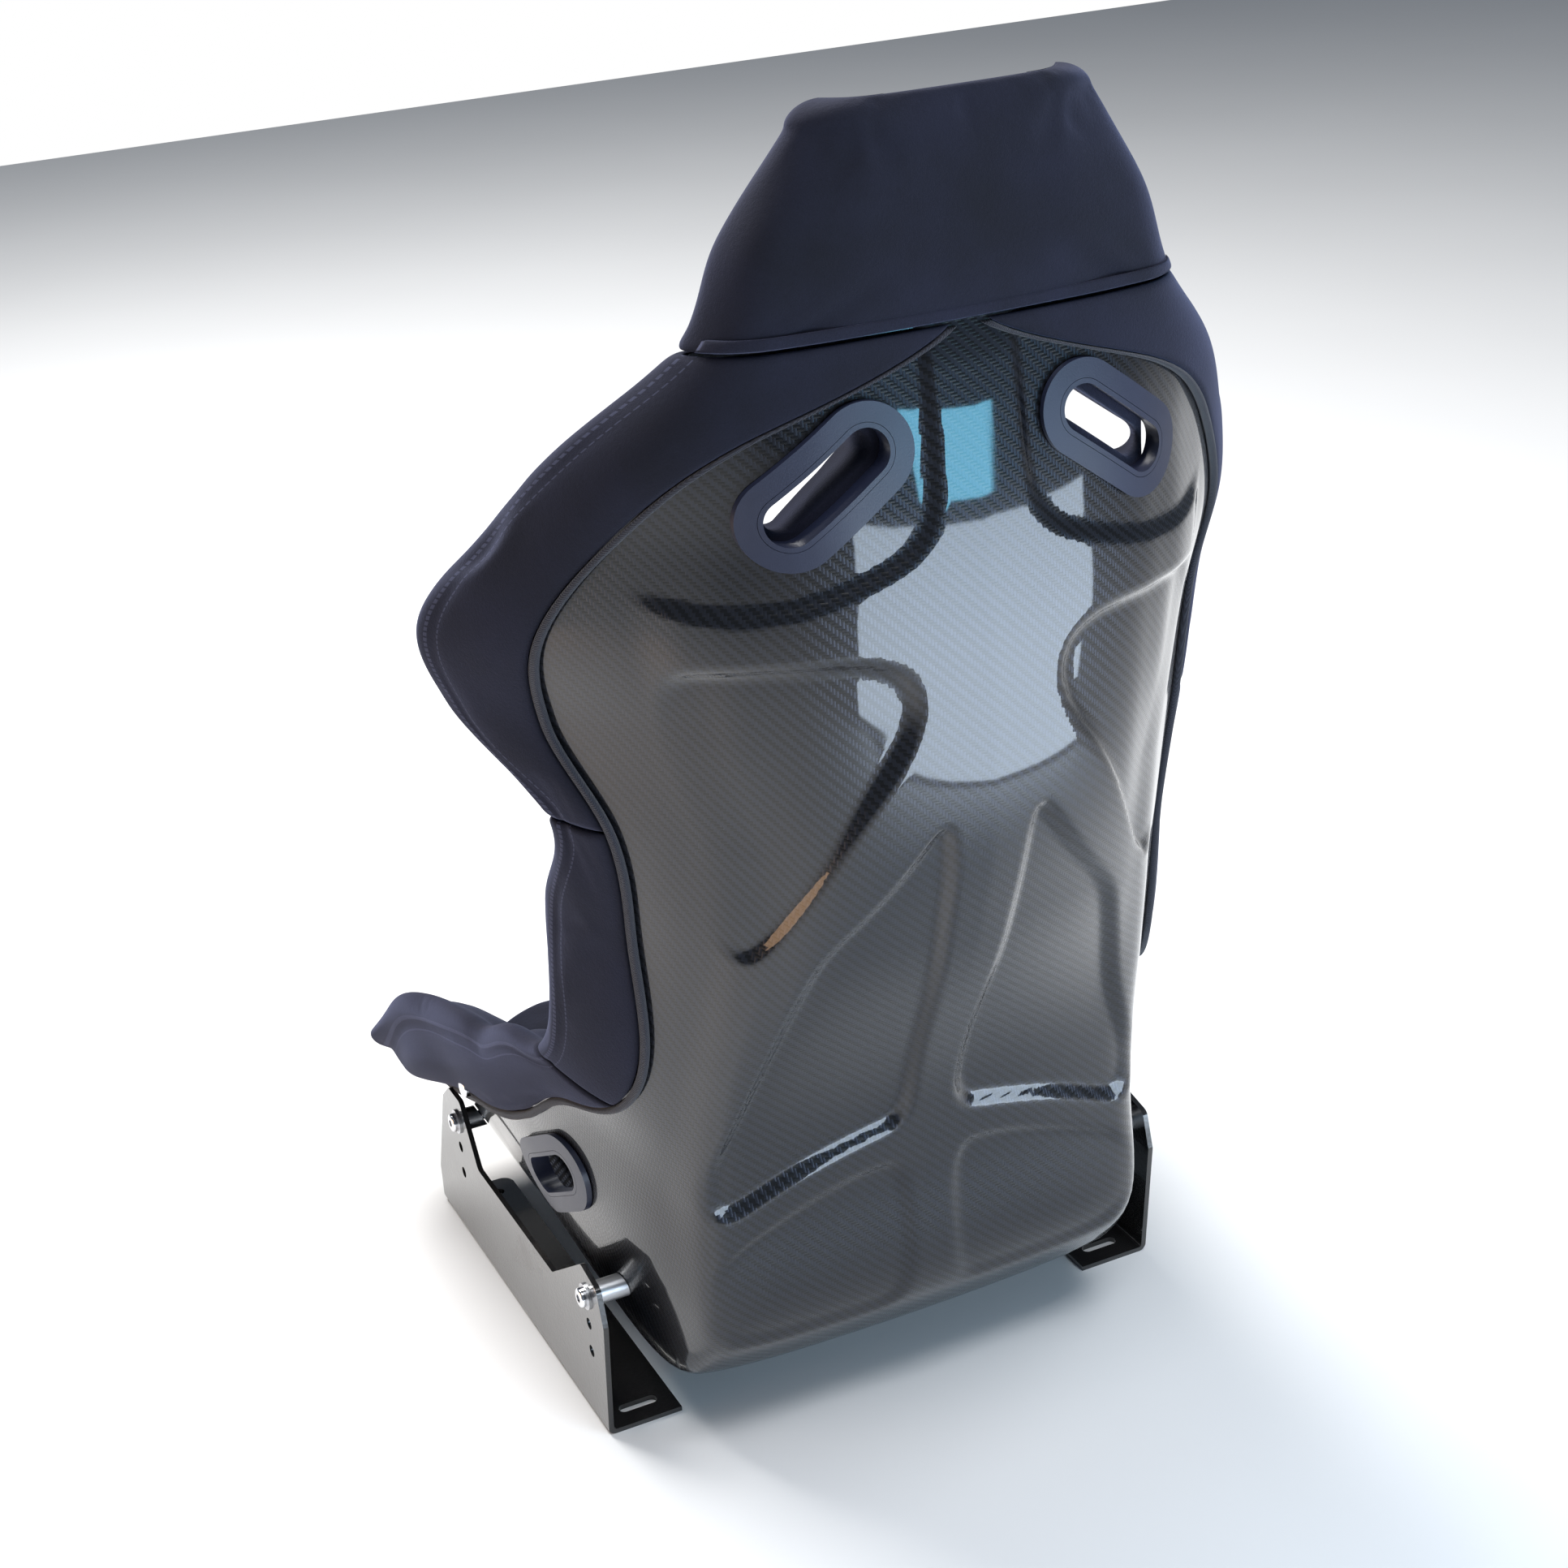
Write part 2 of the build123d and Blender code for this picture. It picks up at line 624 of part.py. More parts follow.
def hood_wire(section, raised=0.0):
    """The hood's section: skin across the back, folded round both edges of the shell."""
    skin_lift = bond_gap + cover_skin
    under = -(shell_wall + bond_gap)
    rim = rim_foam + cover_skin
    flap = section.station.flap_in
    middle = -shell_wall / 2
    backs = spread(0.0, section.length, 10)[:-1]
    outer = [section.flat(back, under - cover_skin) for back in spread(flap, 0.0, 5)]
    outer += [rim_tip(section, 0.5 * (middle + under) - 2.0, 0.72 * rim), rim_tip(section, middle, rim),
              rim_tip(section, 0.5 * (skin_lift + middle), 0.72 * rim)]
    outer += [section.flat(back, skin_lift) for back in backs]
    groove_in = [section.flat(back, under) for back in spread(flap, 0.0, 5)[:-1]]
    groove_in += [rim_tip(section, under, bond_gap)]
    groove_out = [rim_tip(section, bond_gap, bond_gap)]
    groove_out += [section.flat(back, bond_gap) for back in backs[1:]]

    def to_space(flats):
        return [section.place(x, inward) + Vector(0, 0, raised) for x, inward in flats]

    right_groove = [(-x, inward) for x, inward in groove_in]
    return ring_of([to_space(both_ways(outer)), to_space(right_groove),
                    to_space(both_ways(groove_out))[::-1], to_space(groove_in)[::-1]])


def cap_wire(section, raised, shrink):
    """A full section of the hood above the crown of the shell."""
    skin_lift = bond_gap + cover_skin
    front_lift = -(shell_wall + bond_gap + cover_skin)
    rim = rim_foam + cover_skin
    backs = spread(0.0, section.length, HALF_COUNT)[1:-1]
    back_face = [rim_tip(section, 0.6 * skin_lift, 0.9 * rim)]
    back_face += [section.flat(back, skin_lift) for back in backs]
    front_face = [rim_tip(section, 0.6 * front_lift, 0.9 * rim)]
    front_face += [section.flat(back, front_lift) for back in backs]

    def to_space(flats):
        return [section.place(x * shrink, shell_wall + (inward - shell_wall) * shrink)
                + Vector(0, 0, raised) for x, inward in flats]

    return ring_of([to_space(both_ways(back_face)), to_space(both_ways(front_face))[::-1]])


def hood():
    """Padded fabric over the head of the shell, folded round its edges."""
    wires = [hood_wire(Section(0.0), bond_gap)]
    wires += [hood_wire(Section(s)) for s in runs_between(8.0, AT["neck"])]
    return solid_from(wires)


def hood_top():
    """The top panel of the hood, over the crown of the shell."""
    rise = rim_foam + cover_skin
    wires = [cap_wire(Section(0.0), bond_gap + 0.2, 1.0)]
    wires += [cap_wire(Section(0.0), bond_gap + 0.2 + rise * up, narrow) for up, narrow in HOOD_CAP]
    return solid_from(wires)


def hem():
    """The bound lower edge of the hood, across the back of the shell."""
    low = bond_gap + cover_skin + 1.2
    end = AT["neck"]
    reach = Section(end).length - 6.0
    bounds = (end - binding_width - 1.0, end - 1.0, 0.0, reach, low, low + 0.5 * binding_height)
    return skin(*bounds, 1) + skin(*bounds, -1)


# ---------------------------------------------------------------- removable cushions
on_shell = -(shell_wall + bond_gap)
on_strips = on_shell - hook_strip - 0.2


CUSHIONS = {
    # start and end down the shell, half width, thickness, lift of its back, thickness kept in front
    "head_cushion": (30.0, AT["neck"] - 4.0, 82.0, head_pad_thickness, on_strips - cover_skin, 0.0),
    "shoulder_cushion": (AT["neck"] + 6.0, station_run_at_z(676) - 5.0, 146.0, shoulder_pad_thickness, on_strips,
                         0.0),
    "back_cushion": (station_run_at_z(676), AT["waist"] + 20.0, 150.0, back_pad_thickness, on_strips, 0.0),
    "lumbar_cushion": (AT["waist"] + 27.0, AT["hip"] + 10.0, 141.0, lumbar_pad_thickness, on_strips, 0.0),
    "seat_cushion": (AT["tail"] + 14.0, RUN[-1] - 2.0, 162.0, seat_pad_thickness, on_strips, 0.88),
}


# cushion, the slots that go on through it, and how much wider it is opened there
BELT_OPENINGS = (("shoulder_cushion", "harness", 0.0), ("seat_cushion", "crotch_strap", 4.0))
SHOULDER_STRIP = (12.0, 20.0)      # from and to the middle, between the two harness slots


def strips():
    """Hook-and-loop strips behind each cushion, two to a cushion."""
    solids = []
    for name, (start, end, half_width, _, lift, _) in CUSHIONS.items():
        middle, half = (start + end) / 2, 0.28 * (end - start)
        low, high = lift + 0.2, lift + 0.2 + hook_strip
        across = SHOULDER_STRIP if name == "shoulder_cushion" else (0.5 * half_width, 0.5 * half_width + 25.0)
        for side in (1, -1):
            solids.append(skin(middle - half, middle + half, *across, low, high, side))
    return Compound(solids)


def main():
    os.makedirs("parts", exist_ok=True)
    pieces = {}

    shell = solid_from([shell_wire(Section(s)) for s in runs_between(0.0, RUN[-1])])
    slots = make_slots()
    for slot in slots:
        shell -= slot.bar(0.0)
    for side in (1, -1):
        for y, z in BOLTS:
            shell -= along_x(bolt_diameter / 2 + bolt_hole_clearance, side * 120, side * 300, y, z)
    pieces["carbon_shell"] = shell

    for slot in slots:
        pieces[f"{slot.name}_slot_bezel"] = outer_bezel(slot)
        pieces[f"{slot.name}_slot_sleeve"] = sleeve(slot)
        pieces[f"{slot.name}_slot_backing_plate"] = inner_bezel(slot)

    pieces["head_hood"] = hood()
    pieces["hood_top_panel"] = hood_top()
    pieces["hood_hem_binding"] = hem()
    for side, word in ((1, "left"), (-1, "right")):
        pieces[f"{word}_wing_cover"] = cover(
            AT["neck"] + piece_gap, AT["waist"] - piece_gap, wing_pad_thickness, side)
        pieces[f"{word}_waist_bolster"] = cover(
            AT["waist"], AT["hip"] - piece_gap, waist_pad_thickness, side)
        pieces[f"{word}_thigh_bolster"] = cover(AT["hip"], RUN[-1], thigh_pad_thickness, side)
        pieces[f"{word}_edge_binding"] = binding(AT["neck"] + piece_gap, RUN[-1], side)
        pieces[f"{word}_side_bracket"] = bracket(side)

    for name, sizes in CUSHIONS.items():
        pieces[name] = cushion(*sizes)
    for slot in slots:
        for cushion_name, opened_by, grow in BELT_OPENINGS:
            if slot.name.endswith(opened_by):
                pieces[cushion_name] -= slot.bar(grow)
    pieces["hook_and_loop_strips"] = strips()

    outside = core_body(bond_gap)
    inside = core_body(-(shell_wall + bond_gap))
    inner_face = core_body(-(shell_wall + bond_gap + insert_thickness))
    cover_face = core_body(bond_gap + cover_skin + 0.2, AT["hip"])
    pieces["bracket_spacers"] = both_sides(lambda side, y, z: spacer(side, y, z, outside))
    pieces["shell_inserts"] = both_sides(lambda side, y, z: insert(side, y, z, inside, inner_face))
    pieces["side_bolts"] = both_sides(bolt)
    pieces["bolt_washers"] = both_sides(washer)
    pieces["press_studs"] = Compound([press_stud(side, cover_face) for side in (1, -1)])

    for name, piece in pieces.items():
        export_step(piece, f"parts/{name}.step")
        print(name, round(piece.volume / 1000, 1), "cm3", len(piece.solids()), piece.is_valid)


if __name__ == "__main__":
    main()
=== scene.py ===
import logging
import math
from bisect import bisect_right
from dataclasses import dataclass
from enum import Enum
from typing import Callable, Sequence, Union

import bmesh
import bpy
import numpy as np
from mathutils import Matrix, Vector


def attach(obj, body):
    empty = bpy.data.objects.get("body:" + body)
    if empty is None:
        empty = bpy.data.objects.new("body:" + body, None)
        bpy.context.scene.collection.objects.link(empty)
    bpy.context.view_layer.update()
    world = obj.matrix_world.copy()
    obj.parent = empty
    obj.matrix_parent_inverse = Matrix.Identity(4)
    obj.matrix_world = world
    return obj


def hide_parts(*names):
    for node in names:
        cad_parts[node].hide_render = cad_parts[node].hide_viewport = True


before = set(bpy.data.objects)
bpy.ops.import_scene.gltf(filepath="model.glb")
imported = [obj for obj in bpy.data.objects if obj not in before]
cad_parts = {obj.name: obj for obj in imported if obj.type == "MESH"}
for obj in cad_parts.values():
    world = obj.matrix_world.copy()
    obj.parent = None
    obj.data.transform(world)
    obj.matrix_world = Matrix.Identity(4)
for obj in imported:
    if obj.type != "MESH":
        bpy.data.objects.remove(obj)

LOG = logging.getLogger("seat")
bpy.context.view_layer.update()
MM = 0.001
BODY = "root"


# ---------------------------------------------------------------- shader maths
class Net:
    """A material's node tree, with one method that makes any node."""

    def __init__(self, name: str) -> None:
        """Starts an empty material.

        Args:
            name: Name of the material.
        """
        self.material = bpy.data.materials.new(name)
        self.material.use_nodes = True
        self.tree = self.material.node_tree
        self.tree.nodes.clear()

    def node(self, kind: str, settings: dict | None = None, out: int | str = 0, **sockets: object) -> "Sock":
        """Makes one node.

        Args:
            kind: The node's type.
            settings: Attributes, or a ramp's stops under "stops", set before the sockets.
            out: The output that is returned.
            **sockets: Values or links, by socket name with underscores for spaces, or s0, s1 by number.

        Returns:
            The chosen output.
        """
        made = self.tree.nodes.new(kind)
        for key, value in (settings or {}).items():
            if key == "stops":
                ramp = made.color_ramp
                while len(ramp.elements) < len(value):
                    ramp.elements.new(0.5)
                for element, (place, colour) in zip(ramp.elements, value):
                    element.position, element.color = place, (*colour, 1.0)
            else:
                setattr(made, key, value)
        for key, value in sockets.items():
            target = made.inputs[int(key[1:])] if key[1:].isdigit() else made.inputs[key.replace("_", " ")]
            if isinstance(value, Sock):
                self.tree.links.new(value.socket, target)
            else:
                target.default_value = value
        return Sock(self, made.outputs[out])

    def math(self, operation: str, a: "Value", b: "Value" = 0.0, c: "Value" = 0.0) -> "Sock":
        """A Math node over up to three values."""
        return self.node("ShaderNodeMath", {"operation": operation}, s0=a, s1=b, s2=c)

    def mix(self, share: "Value", a: object, b: object) -> "Sock":
        """A colour that goes from a to b."""
        made = self.tree.nodes.new("ShaderNodeMix")
        made.data_type = "RGBA"
        for index, value in ((0, share), (6, a), (7, b)):
            if isinstance(value, Sock):
                self.tree.links.new(value.socket, made.inputs[index])
            elif index == 0:
                made.inputs[index].default_value = value
            else:
                made.inputs[index].default_value = (*value, 1.0) if len(value) == 3 else value
        return Sock(self, made.outputs[2])

    def finish(self, bump: "Sock | None" = None, bump_distance: float = 0.0003, **sockets: object) -> bpy.types.Material:
        """Closes the tree with a Principled shader.

        Args:
            bump: Height that feeds a Bump node.
            bump_distance: Depth of the bump in metres.
            **sockets: The shader's sockets.

        Returns:
            The finished material.
        """
        if bump is not None:
            sockets["Normal"] = self.node("ShaderNodeBump", Height=bump, Distance=bump_distance, Strength=1.0)
        shader = self.node("ShaderNodeBsdfPrincipled", **sockets)
        self.node_output(shader)
        return self.material

    def node_output(self, shader: "Sock") -> None:
        """Links the shader to the material's output."""
        output = self.tree.nodes.new("ShaderNodeOutputMaterial")
        self.tree.links.new(shader.socket, output.inputs["Surface"])


class Sock:
    """A node's output, with arithmetic."""

    def __init__(self, net: Net, socket: bpy.types.NodeSocket) -> None:
        """Wraps an output of a net."""
        self.net, self.socket = net, socket

    def __add__(self, other: "Value") -> "Sock":
        """Sum."""
        return self.net.math("ADD", self, other)

    __radd__ = __add__

    def __sub__(self, other: "Value") -> "Sock":
        """Difference."""
        return self.net.math("SUBTRACT", self, other)

    def __rsub__(self, other: "Value") -> "Sock":
        """Reflected difference."""
        return self.net.math("SUBTRACT", other, self)

    def __mul__(self, other: "Value") -> "Sock":
        """Product."""
        return self.net.math("MULTIPLY", self, other)

    __rmul__ = __mul__

    def __truediv__(self, other: "Value") -> "Sock":
        """Quotient."""
        return self.net.math("DIVIDE", self, other)

    def below(self, other: "Value") -> "Sock":
        """1 where this is smaller."""
        return self.net.math("LESS_THAN", self, other)

    def step(self, low: float, high: float) -> "Sock":
        """A smooth step from low to high."""
        return self.net.node("ShaderNodeMapRange", {"interpolation_type": "SMOOTHSTEP"},
                             Value=self, s1=low, s2=high)


Value = Union[Sock, float]


# ---------------------------------------------------------------- finishes
def noise(net: Net, where: Sock, scale: float, detail: float = 3.0) -> Sock:
    """Soft noise.

    Args:
        net: The material being made.
        where: Coordinates.
        scale: Features per metre.
        detail: Octaves.

    Returns:
        A value from 0 to 1.
    """
    return net.node("ShaderNodeTexNoise", {}, "Fac", Vector=where, Scale=scale, Detail=detail)


def object_place(net: Net) -> Sock:
    """The coordinates of the seat's own frame."""
    return net.node("ShaderNodeTexCoord", out="Object")


@dataclass(frozen=True)
class TwillLaminate:
    """Clear-coated 2x2 twill laminate.

    The weave follows the piece's own map, in metres.
    """
    tow: float = 0.0021
    dark: tuple[float, float, float] = (0.0022, 0.0024, 0.0034)
    light: tuple[float, float, float] = (0.020, 0.022, 0.030)

    def make(self) -> bpy.types.Material:
        """Builds the material."""
        net = Net("twill_laminate")
        split = net.tree.nodes.new("ShaderNodeSeparateXYZ")
        net.tree.links.new(net.node("ShaderNodeUVMap", {"uv_map": "Weave"}).socket, split.inputs[0])
        u, v = (Sock(net, split.outputs[i]) / self.tow for i in (0, 1))
        iu, iv = net.math("FLOOR", u), net.math("FLOOR", v)
        turn = net.math("FLOORED_MODULO", iu + iv, 4.0)
        over = turn.below(1.5)
        fu, fv = u - iu, v - iv
        crown_u = 1.0 - net.math("POWER", net.math("ABSOLUTE", fu * 2.0 - 1.0), 2.0)
        crown_v = 1.0 - net.math("POWER", net.math("ABSOLUTE", fv * 2.0 - 1.0), 2.0)
        height = crown_u * over + crown_v * (1.0 - over)
        strands = noise(net, object_place(net), 900.0, 2.0)
        lie = noise(net, object_place(net), 9.0, 2.0)
        tone = over * (0.55 + lie * 0.5) + height * 0.15 + strands * 0.12
        colour = net.mix(tone.step(0.1, 0.95), self.dark, self.light)
        wear = noise(net, object_place(net), 260.0, 2.0)
        return net.finish(height + strands * 0.2, 0.00012, Base_Color=colour, Metallic=0.1 + over * 0.5,
                          Roughness=0.30 + wear * 0.12, Specular_IOR_Level=0.2, Coat_Weight=1.0,
                          Coat_Roughness=0.045, Coat_IOR=1.5)


@dataclass(frozen=True)
class Velour:
    """Short-pile fabric with a soft, brushed lie."""
    name: str
    deep: tuple[float, float, float]
    raised: tuple[float, float, float]
    stitched: bool = True

    def make(self) -> bpy.types.Material:
        """Builds the material."""
        net = Net(self.name)
        where = object_place(net)
        nap = noise(net, where, 14.0, 3.0)
        fibre = noise(net, where, 1500.0, 3.0)
        grain = noise(net, where, 420.0, 4.0)
        colour = net.mix((nap * 0.65 + fibre * 0.35).step(0.30, 0.72), self.deep, self.raised)
        height = fibre * 0.5 + grain * 0.5
        if self.stitched:
            split = net.tree.nodes.new("ShaderNodeSeparateXYZ")
            net.tree.links.new(net.node("ShaderNodeUVMap", {"uv_map": "Weave"}).socket, split.inputs[0])
            across, along = Sock(net, split.outputs[0]), Sock(net, split.outputs[1])
            row = net.math("ABSOLUTE", net.math("ABSOLUTE", across) - 0.0042).below(0.0006)
            dash = net.math("FLOORED_MODULO", along / 0.0042, 1.0).below(0.68)
            thread = row * dash
            colour = net.mix(thread * 0.85, colour, (0.045, 0.05, 0.085))
            height = height + thread * 2.2
        return net.finish(height, 0.00045, Base_Color=colour, Roughness=0.86 + nap * 0.1, Specular_IOR_Level=0.25,
                          Sheen_Weight=0.22, Sheen_Roughness=0.5, Sheen_Tint=(0.50, 0.56, 0.95, 1.0))


@dataclass(frozen=True)
class Tape:
    """Woven binding tape."""
    colour: tuple[float, float, float] = (0.010, 0.010, 0.016)

    def make(self) -> bpy.types.Material:
        """Builds the material."""
        net = Net("binding_tape")
        where = object_place(net)
        ribs = net.node("ShaderNodeTexWave", {"wave_type": "BANDS", "bands_direction": "DIAGONAL"}, "Fac",
                        Vector=where, Scale=420.0, Distortion=0.4)
        fibre = noise(net, where, 1400.0, 3.0)
        colour = net.mix(ribs * 0.5 + fibre * 0.3, self.colour, (0.035, 0.037, 0.055))
        return net.finish(ribs + fibre, 0.0003, Base_Color=colour, Roughness=0.75 + fibre * 0.15,
                          Sheen_Weight=0.2, Sheen_Roughness=0.4)


@dataclass(frozen=True)
class Moulding:
    """Satin moulded plastic with a fine spark-eroded grain."""
    name: str
    colour: tuple[float, float, float]
    lift: tuple[float, float, float]
    rough: float = 0.38

    def make(self) -> bpy.types.Material:
        """Builds the material."""
        net = Net(self.name)
        where = object_place(net)
        grain = noise(net, where, 1100.0, 4.0)
        cloud = noise(net, where, 22.0, 3.0)
        colour = net.mix(cloud * 0.7 + grain * 0.3, self.colour, self.lift)
        return net.finish(grain, 0.00008, Base_Color=colour, Roughness=self.rough + cloud * 0.12 + grain * 0.06,
                          IOR=1.5, Coat_Weight=0.15, Coat_Roughness=0.2)


@dataclass(frozen=True)
class PowderCoat:
    """Gloss powder coat with orange peel, and bare dusty scuffs."""

    def make(self) -> bpy.types.Material:
        """Builds the material."""
        net = Net("powder_coat")
        where = object_place(net)
        peel = noise(net, where, 380.0, 2.0)
        dust = noise(net, where, 35.0, 5.0)
        scuff = noise(net, where, 9.0, 6.0).step(0.60, 0.74)
        colour = net.mix(scuff * 0.5 + dust * 0.25, (0.010, 0.010, 0.011), (0.060, 0.052, 0.045))
        return net.finish(peel, 0.0002, Base_Color=colour, Metallic=0.15, Roughness=0.16 + scuff * 0.2 + dust * 0.1,
                          Coat_Weight=0.7, Coat_Roughness=0.06)


@dataclass(frozen=True)
class BareMetal:
    """Plated or machined metal."""
    name: str
    colour: tuple[float, float, float]
    rough: float
    lines: float = 0.0

    def make(self) -> bpy.types.Material:
        """Builds the material."""
        net = Net(self.name)
        where = object_place(net)
        fine = noise(net, where, 700.0 + self.lines * 900.0, 3.0)
        stain = noise(net, where, 60.0, 4.0)
        colour = net.mix(stain.step(0.35, 0.8) * 0.5, self.colour, tuple(0.62 * c for c in self.colour))
        return net.finish(fine, 0.00004 + 0.00006 * self.lines, Base_Color=colour, Metallic=1.0,
                          Roughness=self.rough + stain * 0.10 + fine * 0.05)


@dataclass(frozen=True)
class HookTape:
    """Hook-and-loop tape."""

    def make(self) -> bpy.types.Material:
        """Builds the material."""
        net = Net("hook_tape")
        cells = net.node("ShaderNodeTexVoronoi", {}, "Distance", Vector=object_place(net), Scale=900.0)
        colour = net.mix(cells, (0.03, 0.03, 0.032), (0.006, 0.006, 0.007))
        return net.finish(1.0 - cells, 0.0004, Base_Color=colour, Roughness=0.85 + cells * 0.1)


# ---------------------------------------------------------------- the form of the shell
@dataclass(frozen=True)
class Station:
    """One cross-section: its middle on the outside, and half of its outline, in millimetres."""
    y: float
    z: float
    tilt: float
    corner_x: float
    corner_in: float
    wall_x: float
    wall_in: float
    rim_x: float
    rim_in: float
    flap_out: float
    flap_in: float


STATIONS: dict[str, Station] = {
    "crown": Station(347, 946, 3, 66, 3, 80, 8, 88, 18, 52, 40),
    "head": Station(345, 888, 3, 112, 5, 125, 14, 130, 30, 80, 58),
    "neck": Station(345, 828, 3, 128, 8, 148, 20, 156, 38, 160, 70),
    "shoulder": Station(353, 772, 3, 156, 28, 196, 56, 214, 92, 96, 78),
    "wing_top": Station(360, 715, 3, 160, 38, 224, 92, 254, 150, 82, 143),
    "wing": Station(364, 650, 2, 157, 36, 240, 118, 288, 192, 78, 200),
    "wing_low": Station(364, 585, 0, 155, 40, 232, 134, 274, 196, 62, 194),
    "waist": Station(360, 500, -4, 155, 54, 206, 110, 228, 148, 34, 126),
    "lumbar": Station(335, 420, -8, 153, 36, 200, 94, 226, 152, 58, 137),
    "hip": Station(264, 262, -18, 162, 3, 206, 64, 231, 128, 62, 112),
    "buttock": Station(255, 205, -26, 168, 3, 208, 88, 234, 186, 56, 66),
    "tail": Station(251, 100, -34, 176, 6, 209, 110, 238, 276, 60, 66),
    "heel": Station(226, 57, -41, 178, 8, 210, 116, 240, 296, 64, 66),
    "pan": Station(16, 50, -56, 182, 8, 212, 80, 243, 206, 68, 64),
    "thigh": Station(-111, 58, -70, 184, 8, 214, 66, 245, 140, 64, 58),
    "lip": Station(-236, 78, -84, 184, 8, 214, 32, 242, 48, 44, 32),
}
FIELDS = tuple(Station.__dataclass_fields__)
TIGHT = 0.3
SAMPLES = 96


class Section:
    """Half of a cross-section of the outside of the shell, measured back from its edge."""

    def __init__(self, form: "Form", s: float) -> None:
        """Works out the outline at a distance down the shell.

        Args:
            form: The form that the section is cut from.
            s: Distance down the middle from the crown, in millimetres.
        """
        self.station = st = Station(**{name: form.value(name, s) for name in FIELDS})
        lean = math.radians(st.tilt)
        self.out_y, self.out_z = math.cos(lean), math.sin(lean)
        corner, wall, rim = (np.array(p) for p in (
            (st.corner_x, st.corner_in), (st.wall_x, st.wall_in), (st.rim_x, st.rim_in)))
        middle = np.array((0.6 * st.corner_x, 0.06 * st.corner_in))
        control = np.array([(0.0, 0.0), middle, corner + TIGHT * (middle - corner), corner,
                            corner + TIGHT * (wall - corner), wall, rim])
        self.points = form.basis @ control
        steps = np.linalg.norm(np.diff(self.points, axis=0), axis=1)
        self.lengths = np.concatenate([[0.0], np.cumsum(steps)])
        self.length = float(self.lengths[-1])
        lines = np.gradient(self.points, self.lengths, axis=0)
        self.lines = lines / np.linalg.norm(lines, axis=1, keepdims=True)
        dy = form.value("y", s + 2) - form.value("y", s - 2)
        dz = form.value("z", s + 2) - form.value("z", s - 2)
        across = abs(self.out_y * dz - self.out_z * dy) / max(math.hypot(dy, dz), 1e-6)
        self.stretch = 1.0 / max(across, 0.6)

    def flat(self, back: np.ndarray, lift: np.ndarray) -> np.ndarray:
        """Points (x, inward) so far back from the edge, lifted out of the surface.

        Args:
            back: Distances from the edge; a negative one goes on past it.
            lift: Distances out of the surface.

        Returns:
            An array of pairs.
        """
        back, lift = np.broadcast_arrays(np.asarray(back, float), np.asarray(lift, float))
        run = self.length - back
        inside = np.clip(run, 0.0, self.length)
        x = np.interp(inside, self.lengths, self.points[:, 0])
        d = np.interp(inside, self.lengths, self.points[:, 1])
        tx = np.interp(inside, self.lengths, self.lines[:, 0])
        td = np.interp(inside, self.lengths, self.lines[:, 1])
        rise = lift * (1.0 + (self.stretch - 1.0) * tx * tx)
        past = run - inside
        return np.stack([x + td * rise + tx * past, d - tx * rise + td * past], -1)

    def place(self, flat: np.ndarray, side: int = 1) -> np.ndarray:
        """Puts (x, inward) pairs into the seat's frame, in metres."""
        st = self.station
        return np.stack([side * flat[..., 0], st.y - flat[..., 1] * self.out_y,
                         st.z - flat[..., 1] * self.out_z], -1) * MM


